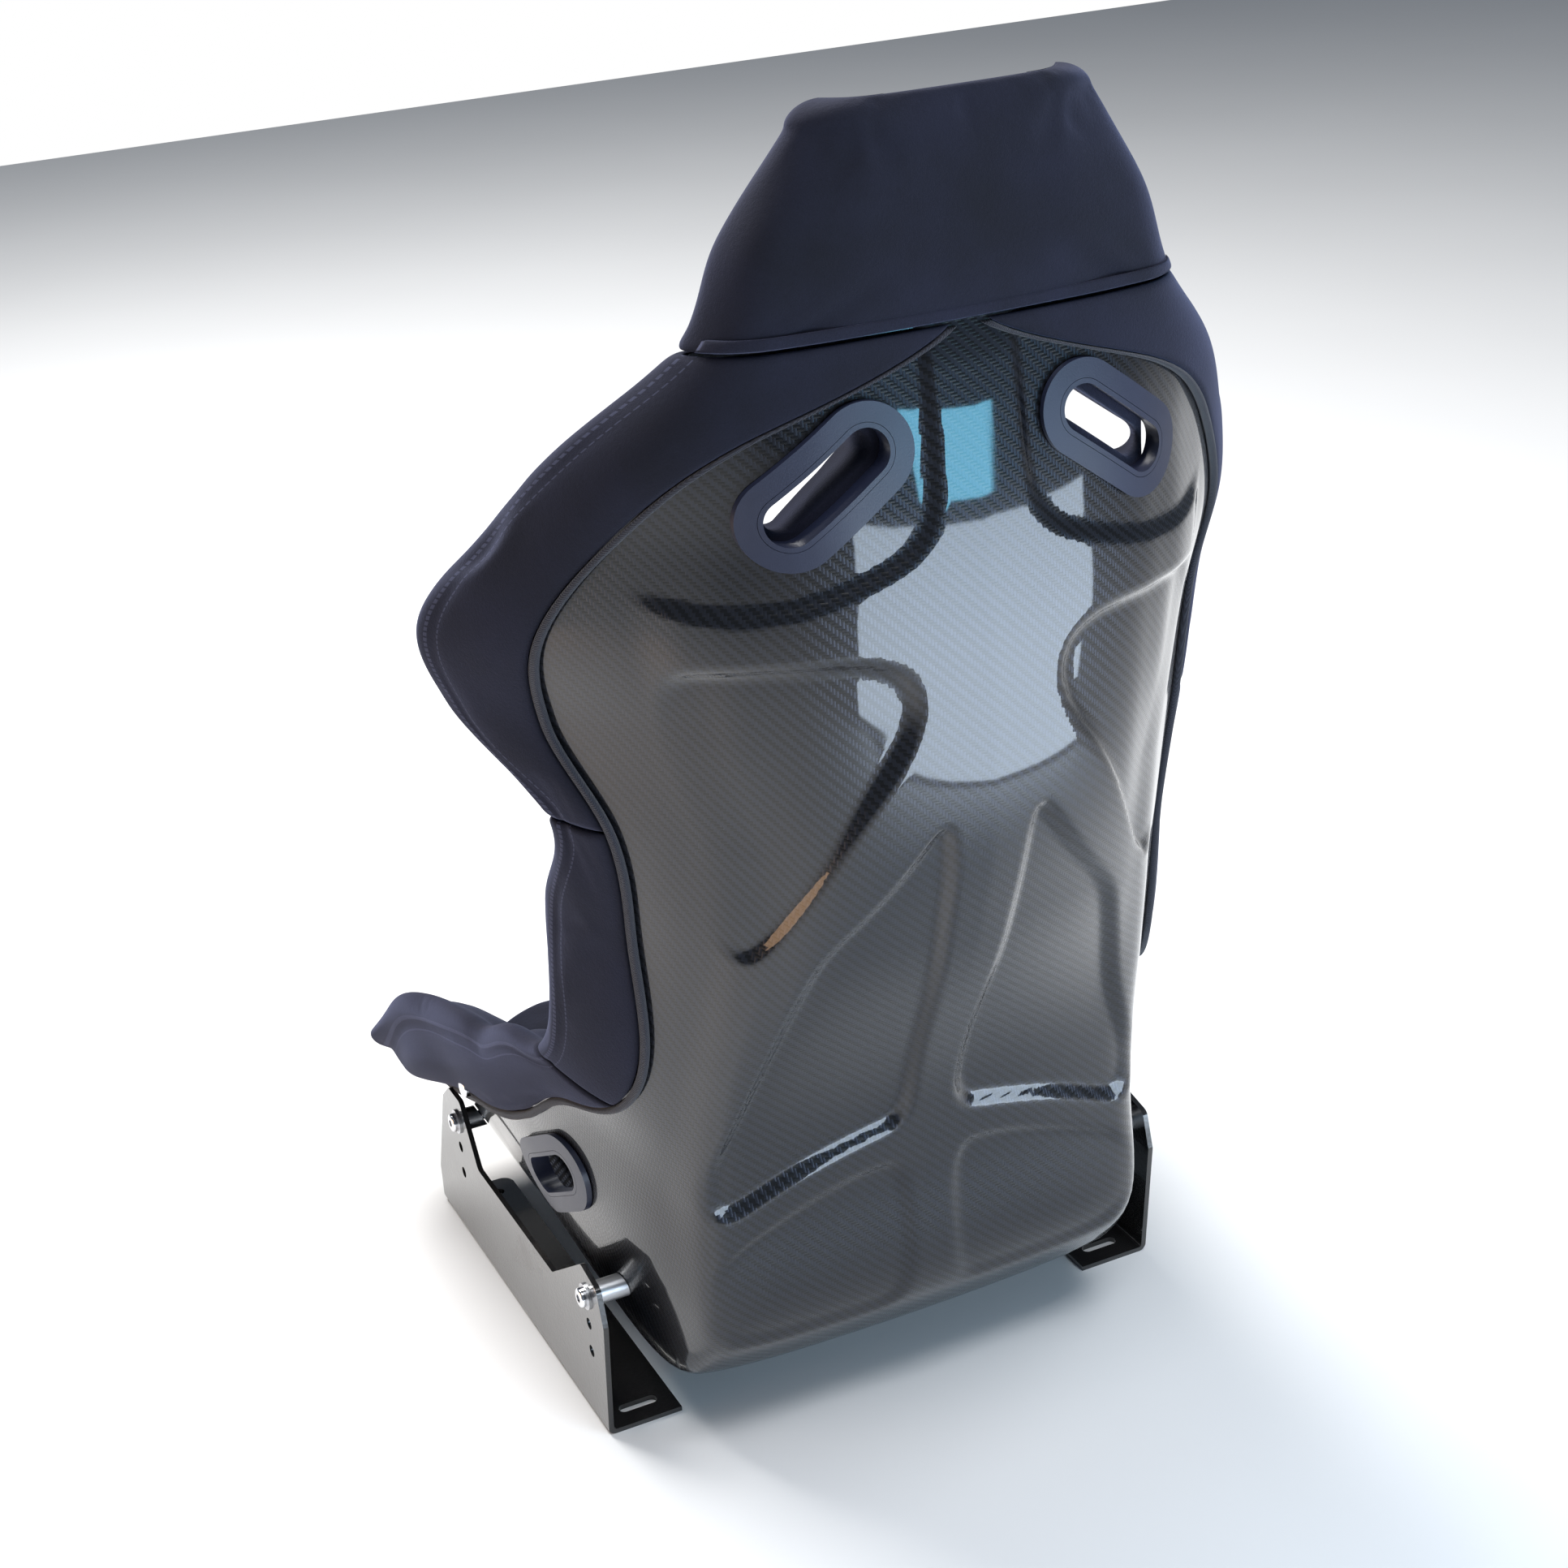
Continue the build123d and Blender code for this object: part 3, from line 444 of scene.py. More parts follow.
class Form:
    """The surface on the outside of the bare shell."""

    def __init__(self) -> None:
        """Measures the stations and prepares the smooth curves through them."""
        row = list(STATIONS.values())
        self.run = [0.0]
        for above, below in zip(row, row[1:]):
            self.run.append(self.run[-1] + math.hypot(below.y - above.y, below.z - above.z))
        self.at = dict(zip(STATIONS, self.run))
        self.end = self.run[-1]
        self.data = {name: [getattr(st, name) for st in row] for name in FIELDS}
        self.slopes = {name: self._slopes(values) for name, values in self.data.items()}
        knots = [0.0] * 3 + [i / 4 for i in range(5)] + [1.0] * 3
        self.basis = np.array([self._weights(min(i / SAMPLES, 1 - 1e-9), knots) for i in range(SAMPLES + 1)])
        self.cache: dict[float, Section] = {}

    def _slopes(self, values: Sequence[float]) -> list[float]:
        """Slopes of the smooth curve at the stations."""
        steps = [b - a for a, b in zip(self.run, self.run[1:])]
        rises = [(b - a) / h for a, b, h in zip(values, values[1:], steps)]
        inner = [(rises[i - 1] * steps[i] + rises[i] * steps[i - 1]) / (steps[i - 1] + steps[i])
                 for i in range(1, len(self.run) - 1)]
        return [rises[0], *inner, rises[-1]]

    @staticmethod
    def _weights(t: float, knots: Sequence[float]) -> list[float]:
        """Weights of the seven control points at t."""
        values = [1.0 if knots[i] <= t < knots[i + 1] else 0.0 for i in range(10)]
        for degree in (1, 2, 3):
            lifted = []
            for i in range(len(values) - 1):
                left = knots[i + degree] - knots[i]
                right = knots[i + degree + 1] - knots[i + 1]
                a = (t - knots[i]) / left * values[i] if left else 0.0
                b = (knots[i + degree + 1] - t) / right * values[i + 1] if right else 0.0
                lifted.append(a + b)
            values = lifted
        return values

    def value(self, name: str, s: float) -> float:
        """One value of the outline at a distance down the shell."""
        s = min(max(s, 0.0), self.end)
        i = min(max(bisect_right(self.run, s) - 1, 0), len(self.run) - 2)
        h = self.run[i + 1] - self.run[i]
        t, v, m = (s - self.run[i]) / h, self.data[name], self.slopes[name]
        return (v[i] * (1 + 2 * t) * (1 - t) ** 2 + m[i] * h * t * (1 - t) ** 2
                + v[i + 1] * t * t * (3 - 2 * t) + m[i + 1] * h * t * t * (t - 1))

    def section(self, s: float) -> Section:
        """The cross-section at a distance down the shell."""
        key = round(s, 4)
        if key not in self.cache:
            self.cache[key] = Section(self, s)
        return self.cache[key]

    def run_at_z(self, z: float) -> float:
        """Distance down the back at which its middle is at this height."""
        low, high = 0.0, self.at["tail"]
        for _ in range(40):
            mid = (low + high) / 2
            low, high = (mid, high) if self.value("z", mid) > z else (low, mid)
        return (low + high) / 2


# ---------------------------------------------------------------- mesh work
def grid_into(bm: bmesh.types.BMesh, points: np.ndarray, cloth: np.ndarray, flip: bool) -> None:
    """Adds one grid of faces and moves its points into place.

    Args:
        bm: The mesh that is being made.
        points: Rows by columns by 3, in metres.
        cloth: Rows by columns by 2, the piece's own map in metres.
        flip: Turns the faces round.
    """
    rows, columns = points.shape[0] - 1, points.shape[1] - 1
    layer = bm.loops.layers.uv.get("Weave") or bm.loops.layers.uv.new("Weave")
    made = bmesh.ops.create_grid(bm, x_segments=columns, y_segments=rows, size=1.0)["verts"]
    places: dict[bmesh.types.BMVert, tuple[int, int]] = {}
    for vert in made:
        places[vert] = (round((vert.co.y + 1) / 2 * rows), round((vert.co.x + 1) / 2 * columns))
    faces = {face for vert in made for face in vert.link_faces}
    for face in faces:
        for loop in face.loops:
            loop[layer].uv = cloth[places[loop.vert]]
    for vert, where in places.items():
        vert.co = points[where]
    if flip:
        bmesh.ops.reverse_faces(bm, faces=list(faces))


def piece_from(bm: bmesh.types.BMesh, name: str, material: bpy.types.Material, smooth: bool = True) -> bpy.types.Object:
    """Turns a finished bmesh into a piece of the scene."""
    mesh = bpy.data.meshes.new(name)
    bm.to_mesh(mesh)
    bm.free()
    mesh.materials.append(material)
    if smooth:
        mesh.shade_smooth()
    piece = bpy.data.objects.new(name, mesh)
    bpy.context.scene.collection.objects.link(piece)
    return piece


def applied(piece: bpy.types.Object) -> bpy.types.Object:
    """Applies a piece's modifiers to its mesh."""
    bpy.context.view_layer.update()
    graph = bpy.context.evaluated_depsgraph_get()
    mesh = bpy.data.meshes.new_from_object(piece.evaluated_get(graph), preserve_all_data_layers=True, depsgraph=graph)
    old, piece.data = piece.data, mesh
    piece.modifiers.clear()
    bpy.data.meshes.remove(old)
    return piece


def rounded(count: int, lengths: float, radius: float, ends: tuple[bool, bool] = (True, True)) -> np.ndarray:
    """Fullness from 0 at the ends to 1 a radius inside them."""
    place = np.linspace(0.0, lengths, count)
    near = np.full(count, radius)
    if ends[0]:
        near = np.minimum(near, place)
    if ends[1]:
        near = np.minimum(near, lengths - place)
    return np.sqrt(np.clip(1.0 - (1.0 - near / radius) ** 2, 0.0, 1.0))


def dense(start: float, end: float, pitch: float, radius: float) -> np.ndarray:
    """Distances from start to end, closer near both ends so that a rolled edge is smooth."""
    edge = np.array([0.0, 0.06, 0.2, 0.42, 0.7, 1.0]) * radius
    count = max(3, round((end - start - 2 * radius) / pitch) + 1)
    middle = np.linspace(start + radius, end - radius, count)[1:-1]
    return np.concatenate([start + edge, middle, (end - edge)[::-1]])


def fullness(places: np.ndarray, radius: float) -> np.ndarray:
    """Fullness for places made by dense."""
    near = np.minimum(np.minimum(places - places[0], places[-1] - places), radius)
    return np.sqrt(np.clip(1.0 - (1.0 - near / radius) ** 2, 0.0, 1.0))


@dataclass
class Stuffing:
    """How a padded piece is blown up by the cloth solver."""
    pressure: float = 4.0
    cap: float = 0.006
    frames: int = 16
    fill: float = 0.7


def pillow(name: str, face: np.ndarray, back: np.ndarray, full: np.ndarray, cloth: np.ndarray,
           material: bpy.types.Material, flip: bool) -> bpy.types.Object:
    """A closed padded form between two faces that meet in a rolled edge.

    Args:
        name: Name of the piece.
        face: Outer points, rows by columns by 3.
        back: Points on the side that lies on something, of the same size.
        full: Fullness, rows by columns, 0 at every border.
        cloth: The piece's own map.
        material: Its finish.
        flip: Turns the piece inside out, for the mirrored side.

    Returns:
        The piece.
    """
    middle = (face + back) / 2
    bm = bmesh.new()
    grid_into(bm, middle + (face - middle) * full[..., None], cloth, flip)
    grid_into(bm, middle + (back - middle) * full[..., None], cloth, not flip)
    bmesh.ops.remove_doubles(bm, verts=bm.verts, dist=1e-6)
    bmesh.ops.recalc_face_normals(bm, faces=bm.faces)
    return piece_from(bm, name, material)


def stuffed(piece: bpy.types.Object, how: Stuffing, held: Callable[[Vector], float]) -> bpy.types.Object:
    """Blows a padded piece up with the cloth solver and keeps the result.

    Args:
        piece: The piece, closed and in place.
        how: Pressure, cap and fill.
        held: From 0, free, to 1, held still, for a point of the piece.

    Returns:
        The same piece.
    """
    rest = [v.co.copy() for v in piece.data.vertices]
    group = piece.vertex_groups.new(name="held")
    for i, co in enumerate(rest):
        group.add([i], held(co), "REPLACE")
    cloth = piece.modifiers.new("Cloth", "CLOTH")
    settings = cloth.settings
    settings.quality = 4
    settings.mass = 0.25
    settings.tension_stiffness = settings.compression_stiffness = 18.0
    settings.bending_stiffness = 0.6
    settings.use_pressure = True
    settings.uniform_pressure_force = how.pressure
    settings.vertex_group_mass = "held"
    settings.pin_stiffness = 1.0
    settings.effector_weights.gravity = 0.0
    cloth.point_cache.frame_end = how.frames
    for number in range(1, how.frames + 1):
        bpy.context.scene.frame_set(number)
    applied(piece)
    for vert, start in zip(piece.data.vertices, rest):
        move = vert.co - start
        if move.length > how.cap:
            vert.co = start + move * (how.cap / move.length)
    bpy.context.scene.frame_set(1)
    piece.vertex_groups.clear()
    finer = piece.modifiers.new("Finer", "SUBSURF")
    finer.levels = finer.render_levels = 1
    finer.uv_smooth = "PRESERVE_BOUNDARIES"
    return piece


# ---------------------------------------------------------------- the laminate
def chaikin(points: Sequence[tuple[float, float]], rounds: int = 3) -> np.ndarray:
    """A closed outline with its corners rounded."""
    line = np.array(points, float)
    for _ in range(rounds):
        after = np.roll(line, -1, axis=0)
        line = np.stack([0.78 * line + 0.22 * after, 0.22 * line + 0.78 * after], 1).reshape(-1, 2)
    return line


def signed_distance(points: np.ndarray, outline: np.ndarray) -> np.ndarray:
    """Distance of each point to a closed outline, negative inside."""
    best = np.full(len(points), 1e9)
    inside = np.zeros(len(points), bool)
    for a, b in zip(outline, np.roll(outline, -1, axis=0)):
        edge, to = b - a, points - a
        share = np.clip(to @ edge / (edge @ edge), 0.0, 1.0)
        best = np.minimum(best, np.linalg.norm(to - share[:, None] * edge, axis=1))
        crosses = (a[1] > points[:, 1]) != (b[1] > points[:, 1])
        with np.errstate(divide="ignore", invalid="ignore"):
            at = a[0] + (points[:, 1] - a[1]) * (b[0] - a[0]) / (b[1] - a[1])
        inside ^= crosses & (points[:, 0] < at)
    return np.where(inside, -best, best)


def smooth(values: np.ndarray, low: float, high: float) -> np.ndarray:
    """A smooth step from 0 at low to 1 at high."""
    t = np.clip((values - low) / (high - low), 0.0, 1.0)
    return t * t * (3 - 2 * t)


@dataclass(frozen=True)
class Recess:
    """A pressed panel in the back of the shell, in millimetres from the middle and the floor."""
    outline: tuple[tuple[float, float], ...]
    depth: float
    edge: float


RECESSES: tuple[Recess, ...] = (
    Recess(((30, 870), (30, 735), (36, 708), (56, 690), (115, 672), (160, 668), (205, 680), (215, 720),
            (200, 800), (160, 870)), 4.2, 8.0),
    Recess(((190, 628), (150, 634), (86, 634), (58, 622), (50, 600), (58, 574), (89, 530), (115, 475),
            (134, 440), (150, 424), (172, 450), (186, 540)), 7.5, 10.0),
    Recess(((33, 514), (28, 495), (25, 411), (19, 312), (19, 248), (60, 240), (105, 228), (164, 202),
            (166, 245), (140, 308), (119, 383), (106, 423), (69, 467), (42, 506)), 8.0, 11.0),
    Recess(((19, 214), (60, 212), (110, 196), (166, 172), (172, 120), (150, 96), (60, 92), (19, 96)), 3.6, 12.0),
)
RIDGE = 4.6                   # how far the ridges between the panels stand out of the moulded form


@dataclass(frozen=True)
class BeltSlot:
    """A stadium-shaped slot."""
    centre: tuple[float, float, float]
    length: float
    width: float
    tilt: float
    along: tuple[float, float, float]
    up: tuple[float, float, float]


BELT_SLOTS: tuple[BeltSlot, ...] = (
    BeltSlot((97, 345, 744), 96, 37, -37, (1, 0, 0), (0, 0, 1)),
    BeltSlot((-97, 345, 744), 96, 37, 37, (1, 0, 0), (0, 0, 1)),
    BeltSlot((218, 95, 176), 84, 36, 30, (0, 1, 0), (0, 0, 1)),
    BeltSlot((-218, 95, 176), 84, 36, 30, (0, 1, 0), (0, 0, 1)),
    BeltSlot((0, -70, 50), 110, 40, 0, (1, 0, 0), (0, 1, 0)),
)


def slot_cutters(narrower: float) -> bpy.types.Object:
    """The stadium prisms that open the belt slots.

    Args:
        narrower: How much narrower the prisms are than the slots, in millimetres.

    Returns:
        One object that holds all the prisms.
    """
    bm = bmesh.new()
    for slot in BELT_SLOTS:
        width = slot.width - narrower
        straight = (slot.length - narrower - width) / 2
        made = bmesh.ops.create_circle(bm, cap_ends=True, segments=32, radius=width / 2)["verts"]
        for vert in made:
            vert.co.x += straight if vert.co.x > 0 else -straight
        bottom = made[0].link_faces[0]
        top = bmesh.ops.extrude_face_region(bm, geom=[bottom])["geom"]
        lifted = [g for g in top if isinstance(g, bmesh.types.BMVert)]
        bmesh.ops.translate(bm, verts=lifted, vec=(0, 0, 150))
        along, up = Vector(slot.along), Vector(slot.up)
        through = along.cross(up)
        frame_of = Matrix((along, up, through)).transposed().to_4x4()
        place = (Matrix.Translation(Vector(slot.centre) * MM) @ frame_of
                 @ Matrix.Rotation(math.radians(slot.tilt), 4, "Z")
                 @ Matrix.Diagonal((MM, MM, MM, 1)) @ Matrix.Translation((0, 0, -75)))
        bmesh.ops.transform(bm, matrix=place, verts=[*made, *lifted])
    bmesh.ops.recalc_face_normals(bm, faces=bm.faces)
    return piece_from(bm, "slot_cutters", bpy.data.materials.new("unused"), smooth=False)


def opened(piece: bpy.types.Object, narrower: float = 0.0) -> bpy.types.Object:
    """Cuts the belt slots through a piece."""
    cutters = slot_cutters(narrower)
    cut = piece.modifiers.new("Slots", "BOOLEAN")
    cut.operation, cut.solver, cut.object = "DIFFERENCE", "EXACT", cutters
    applied(piece)
    piece.data.shade_smooth()
    bpy.data.objects.remove(cutters)
    return piece


class CarbonShell:
    """The laminate, with its pressed panels and belt slots."""
    rows: int = 372
    columns: int = 184
    wall: float = 4.0

    def __init__(self, form: Form) -> None:
        """Keeps the form that the laminate follows."""
        self.form = form

    def relief(self, x: np.ndarray, z: np.ndarray, y: np.ndarray) -> np.ndarray:
        """How far the surface is pressed out, in millimetres.

        Args:
            x: Distance from the middle.
            z: Height.
            y: Place from front to back.

        Returns:
            Lifts, one for each point.
        """
        flat = np.stack([np.abs(x), z], -1)
        pressed = np.zeros(len(flat))
        for recess in RECESSES:
            away = signed_distance(flat, chaikin(recess.outline))
            pressed = np.maximum(pressed, recess.depth * smooth(-away, -0.5 * recess.edge, 0.5 * recess.edge))
        zone = smooth(z, 62, 100) * (1 - smooth(z, 800, 842)) * smooth(y, 175, 235)
        limit = np.interp(z, [100, 220, 330, 420, 500, 560, 640, 700, 760, 830],
                          [166, 172, 166, 150, 150, 168, 186, 190, 182, 150])
        side = 1 - smooth(np.abs(x), limit - 14, limit + 16)
        return 1.2 + (RIDGE - pressed - 0.4) * zone * side

    def outside(self) -> tuple[np.ndarray, np.ndarray]:
        """Points and map of the outer face."""
        runs = np.linspace(0.0, self.form.end, self.rows + 1)
        share = np.linspace(-1.0, 1.0, self.columns + 1)
        points = np.zeros((len(runs), len(share), 3))
        cloth = np.zeros((len(runs), len(share), 2))
        for r, s in enumerate(runs):
            section = self.form.section(float(s))
            back = section.length * (1 - np.abs(share))
            side = np.where(share < 0, -1.0, 1.0)
            base = section.place(section.flat(back, np.zeros_like(back)))
            lift = self.relief(base[:, 0] / MM, base[:, 2] / MM, base[:, 1] / MM)
            raised = section.place(section.flat(back, lift))
            raised[:, 0] *= side
            points[r] = raised
            cloth[r] = np.stack([share * section.length * MM, np.full(len(share), s * MM)], -1)
        return points, cloth

    def inside(self) -> tuple[np.ndarray, np.ndarray]:
        """Points and map of the inner face, coarser because covers and cushions lie on it."""
        runs = np.linspace(0.0, self.form.end, self.rows // 4 + 1)
        share = np.linspace(-1.0, 1.0, self.columns // 4 + 1)
        points = np.zeros((len(runs), len(share), 3))
        cloth = np.zeros((len(runs), len(share), 2))
        for r, s in enumerate(runs):
            section = self.form.section(float(s))
            back = section.length * (1 - np.abs(share))
            points[r] = section.place(section.flat(back, np.full(len(share), -self.wall)))
            points[r, :, 0] *= np.where(share < 0, -1.0, 1.0)
            cloth[r] = np.stack([share * section.length * MM, np.full(len(share), s * MM)], -1)
        return points, cloth

    def make(self) -> bpy.types.Object:
        """Builds the shell and opens its slots.

        Returns:
            The piece.
        """
        bm = bmesh.new()
        grid_into(bm, *self.outside(), False)
        grid_into(bm, *self.inside(), True)
        border = [edge for edge in bm.edges if edge.is_boundary]
        bmesh.ops.bridge_loops(bm, edges=border)
        bmesh.ops.recalc_face_normals(bm, faces=bm.faces)
        shell = piece_from(bm, "laminate_shell", TwillLaminate().make())
        opened(shell)
        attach(shell, BODY)
        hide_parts("carbon_shell")
        return shell


# ---------------------------------------------------------------- fitted covers
class Seam(Enum):
    """Where a cover is sewn, as distances back from the edge of the shell in millimetres."""
    RIM_OUTSIDE = 4.0
    RIM_INSIDE = -3.0


class Upholstery:
    """The fitted covers over the edge of the shell, the hood and the cushions."""
    bond: float = 2.0
    wall: float = 4.0
    skin: float = 5.0
    rim: float = 14.0
    radius: float = 6.0

    def __init__(self, form: Form) -> None:
        """Keeps the form and makes the fabrics."""
        self.form = form
        self.fabric = Velour("velour_cover", (0.0022, 0.0024, 0.0055), (0.0085, 0.0092, 0.020)).make()
        self.cushion_fabric = Velour("velour_cushion", (0.0025, 0.0027, 0.006), (0.011, 0.012, 0.026), False).make()
        self.tape = Tape().make()

    def dressed(self, piece: bpy.types.Object, node: str) -> bpy.types.Object:
        """Ties a piece to the frame."""
        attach(piece, BODY)
        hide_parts(node)
        return piece

    def fold(self, section: Section, count: int, more: float = 0.8) -> tuple[np.ndarray, np.ndarray]:
        """The face and back of the padding as it turns round the edge of the shell."""
        angle = np.linspace(0.0, math.pi, count)[1:-1]
        high, low = self.bond + self.skin, -(self.wall + self.bond + self.skin)
        middle, half = (high + low) / 2, (high - low) / 2
        face = section.flat(-(self.rim + more) * np.sin(angle) ** 0.85, middle + half * np.cos(angle))
        near_high, near_low = self.bond, -(self.wall + self.bond)
        mid, reach = (near_high + near_low) / 2, (near_high - near_low) / 2
        back = section.flat(-1.6 * np.sin(angle), mid + reach * np.cos(angle))
        return face, back

    def cover_rows(self, start: float, end: float, pad: float, side: int) -> tuple[np.ndarray, ...]:
        """Face, back, fullness and map of a side cover."""
        places = dense(start, end, 7.0, self.radius)
        backs_out = np.concatenate([1 - np.array([0.0, 0.01, 0.03, 0.06, 0.1]), np.linspace(0.86, 0.0, 14)])
        backs_in = np.concatenate([np.linspace(0.0, 0.9, 26), [0.94, 0.97, 0.99, 1.0]])
        face, back, cloth, across = [], [], [], []
        for s in places:
            section = self.form.section(float(s))
            st = section.station
            flap = min(st.flap_out, section.length - 12.0)
            out = flap * backs_out
            seam = 1.6 * np.exp(-((out - Seam.RIM_OUTSIDE.value) / 2.2) ** 2)
            puff = 1.6 + 11.0 * float(smooth(np.array(s), self.form.at["pan"] - 60, self.form.at["thigh"] + 30))
            outer = section.flat(out, self.bond + self.skin + puff * np.sin(math.pi * backs_out ** 1.4) - seam)
            outer_low = section.flat(out, np.full(len(out), self.bond))
            turned, turned_back = self.fold(section, 13, 0.5 * puff)
            into = st.flap_in * backs_in
            edge = -(self.wall + self.bond + self.skin)
            swell = np.clip(np.sin(math.pi * backs_in ** 0.8), 0.0, 1.0) ** 0.8
            dip = 2.2 * np.exp(-((into - 0.80 * st.flap_in) / 3.0) ** 2)
            inner = section.flat(into, edge - (pad - self.skin) * swell + dip * (swell > 0.05))
            inner_low = section.flat(into, np.full(len(into), -(self.wall + self.bond)))
            face.append(section.place(np.concatenate([outer, turned, inner]), side))
            back.append(section.place(np.concatenate([outer_low, turned_back, inner_low]), side))
            u = np.concatenate([-(out - Seam.RIM_OUTSIDE.value), np.linspace(5, 20, len(turned)), 24 + into]) * MM
            cloth.append(np.stack([u, np.full(len(u), s * MM)], -1))
            step = np.linalg.norm(np.diff(face[-1], axis=0), axis=1)
            run = np.concatenate([[0.0], np.cumsum(step)])
            near = np.minimum(np.minimum(run, run[-1] - run), self.radius * MM) / (self.radius * MM)
            across.append(np.sqrt(1 - (1 - near) ** 2))
        full = np.array(across) * fullness(places, self.radius)[:, None]
        return np.array(face), np.array(back), full, np.array(cloth)

    def cover(self, name: str, node: str, start: float, end: float, pad: float, side: int,
              how: Stuffing) -> bpy.types.Object:
        """One fitted cover.

        Args:
            name: Name of the piece.
            node: The solid that it stands for.
            start: Where it begins, down the shell.
            end: Where it ends.
            pad: Thickness of its foam inside the shell.
            side: 1 for the left, -1 for the right.
            how: Its stuffing.

        Returns:
            The piece.
        """
        face, back, full, cloth = self.cover_rows(start, end, pad, side)
        piece = pillow(name, face, back, full, cloth, self.fabric, side < 0)
        held = {tuple(np.round(p, 5)) for p in self.pinned(face, back, full)}
        stuffed(piece, how, lambda co: 1.0 if tuple(np.round(co, 5)) in held else 0.0)
        return self.dressed(piece, node)

    @staticmethod
    def pinned(face: np.ndarray, back: np.ndarray, full: np.ndarray) -> np.ndarray:
        """The points that stay where they are: the borders, the seam columns and the side that lies on the shell."""
        middle = (face + back) / 2
        outer = middle + (face - middle) * full[..., None]
        under = middle + (back - middle) * full[..., None]
        held = [under.reshape(-1, 3), outer[:2].reshape(-1, 3), outer[-2:].reshape(-1, 3),
                outer[:, :2].reshape(-1, 3), outer[:, -2:].reshape(-1, 3)]
        return np.concatenate(held)

    def covers(self) -> None:
        """The wing covers, waist bolsters and thigh bolsters."""
        at = self.form.at
        plan = (("wing", "wing_cover", at["neck"] + 2, at["waist"] - 2, 20.0),
                ("waist", "waist_bolster", at["waist"], at["hip"] - 2, 28.0),
                ("thigh", "thigh_bolster", at["hip"], self.form.end, 30.0))
        for side, word in ((1, "left"), (-1, "right")):
            for title, node, start, end, pad in plan:
                self.cover(f"{word}_{title}_padding", f"{word}_{node}", start, end, pad, side,
                           Stuffing(3.0, 0.004, 12, 0.7))
                LOG.info("cover %s %s", word, title)

    def hood(self) -> None:
        """The hood folded over the head of the shell, closed over the crown."""
        end = self.form.at["neck"]
        crown = self.form.section(0.0)
        lifts = np.array([0.0, 0.06, 0.2, 0.45, 0.75, 1.0])
        places = np.concatenate([np.linspace(0, end - self.radius, 22),
                                 end - self.radius * np.array([0.7, 0.42, 0.2, 0.06, 0.0])])
        count = 30
        share = np.linspace(1.0, 0.0, count)
        flap_share = np.concatenate([[1.0, 0.985, 0.95, 0.9], np.linspace(0.82, 0.0, 10)])
        face, back, cloth, across = [], [], [], []

        def row(section: Section, raise_mm: float, narrow: float, flat_share: float) -> None:
            """Adds one row across the hood, edge of the left flap to edge of the right one."""
            into = section.station.flap_in * flap_share
            inside_high = -(self.wall + self.bond + self.skin)
            lining = section.flat(into, np.full(len(into), inside_high))
            lining_low = section.flat(into, np.full(len(into), -(self.wall + self.bond)))
            turned, turned_back = self.fold(section, 11)
            backs = section.length * (1 - share)
            out = section.flat(backs, np.full(count, self.bond + self.skin))
            low = section.flat(backs, np.full(count, self.bond))
            half = np.concatenate([lining, turned[::-1], out])
            half_low = np.concatenate([lining_low, turned_back[::-1], low])
            core = section.flat(np.clip(np.concatenate([into, np.full(len(turned), -6.0), backs]), -6.0, None),
                                np.full(len(half), -self.wall / 2))
            for flat, keep in ((half, face), (half_low, back)):
                drawn = core + (flat - core) * flat_share
                whole = np.concatenate([drawn, (drawn * (-1, 1))[::-1][1:]])
                placed = section.place(whole * (narrow, 1.0))
                placed[:, 2] += raise_mm * MM
                keep.append(placed)
            run = np.concatenate([[0.0], np.cumsum(np.linalg.norm(np.diff(face[-1], axis=0), axis=1))])
            near = np.minimum(np.minimum(run, run[-1] - run), self.radius * MM) / (self.radius * MM)
            across.append(np.sqrt(1 - (1 - near) ** 2))
            cloth.append(np.stack([run + 0.2, np.full(len(run), section.station.z * MM)], -1))

        turn = np.radians([88, 78, 66, 54, 42, 30, 20, 10])
        rise = self.rim + 1.0
        for angle in turn:
            narrow = 1.0 - 0.16 * (1 - math.cos(angle))
            row(crown, rise * math.sin(angle), narrow, max(math.cos(angle), 0.04))
        for s in places:
            row(self.form.section(float(s)), 0.0, 1.0, 1.0)
        places = np.concatenate([-rise * turn, places])
        edge = np.minimum(np.minimum(end - places, places - places[0]), self.radius) / self.radius
        full = np.array(across) * np.sqrt(1 - (1 - edge) ** 2)[:, None]
        face_a, back_a = np.array(face), np.array(back)
        piece = pillow("hood_padding", face_a, back_a, full, np.array(cloth), self.fabric, False)
        held = {tuple(np.round(p, 5)) for p in self.pinned(face_a, back_a, full)}
        stuffed(piece, Stuffing(2.5, 0.003, 12, 0.7), lambda co: 1.0 if tuple(np.round(co, 5)) in held else 0.0)
        self.dressed(piece, "head_hood")
        self.crown_panel(crown, lifts)

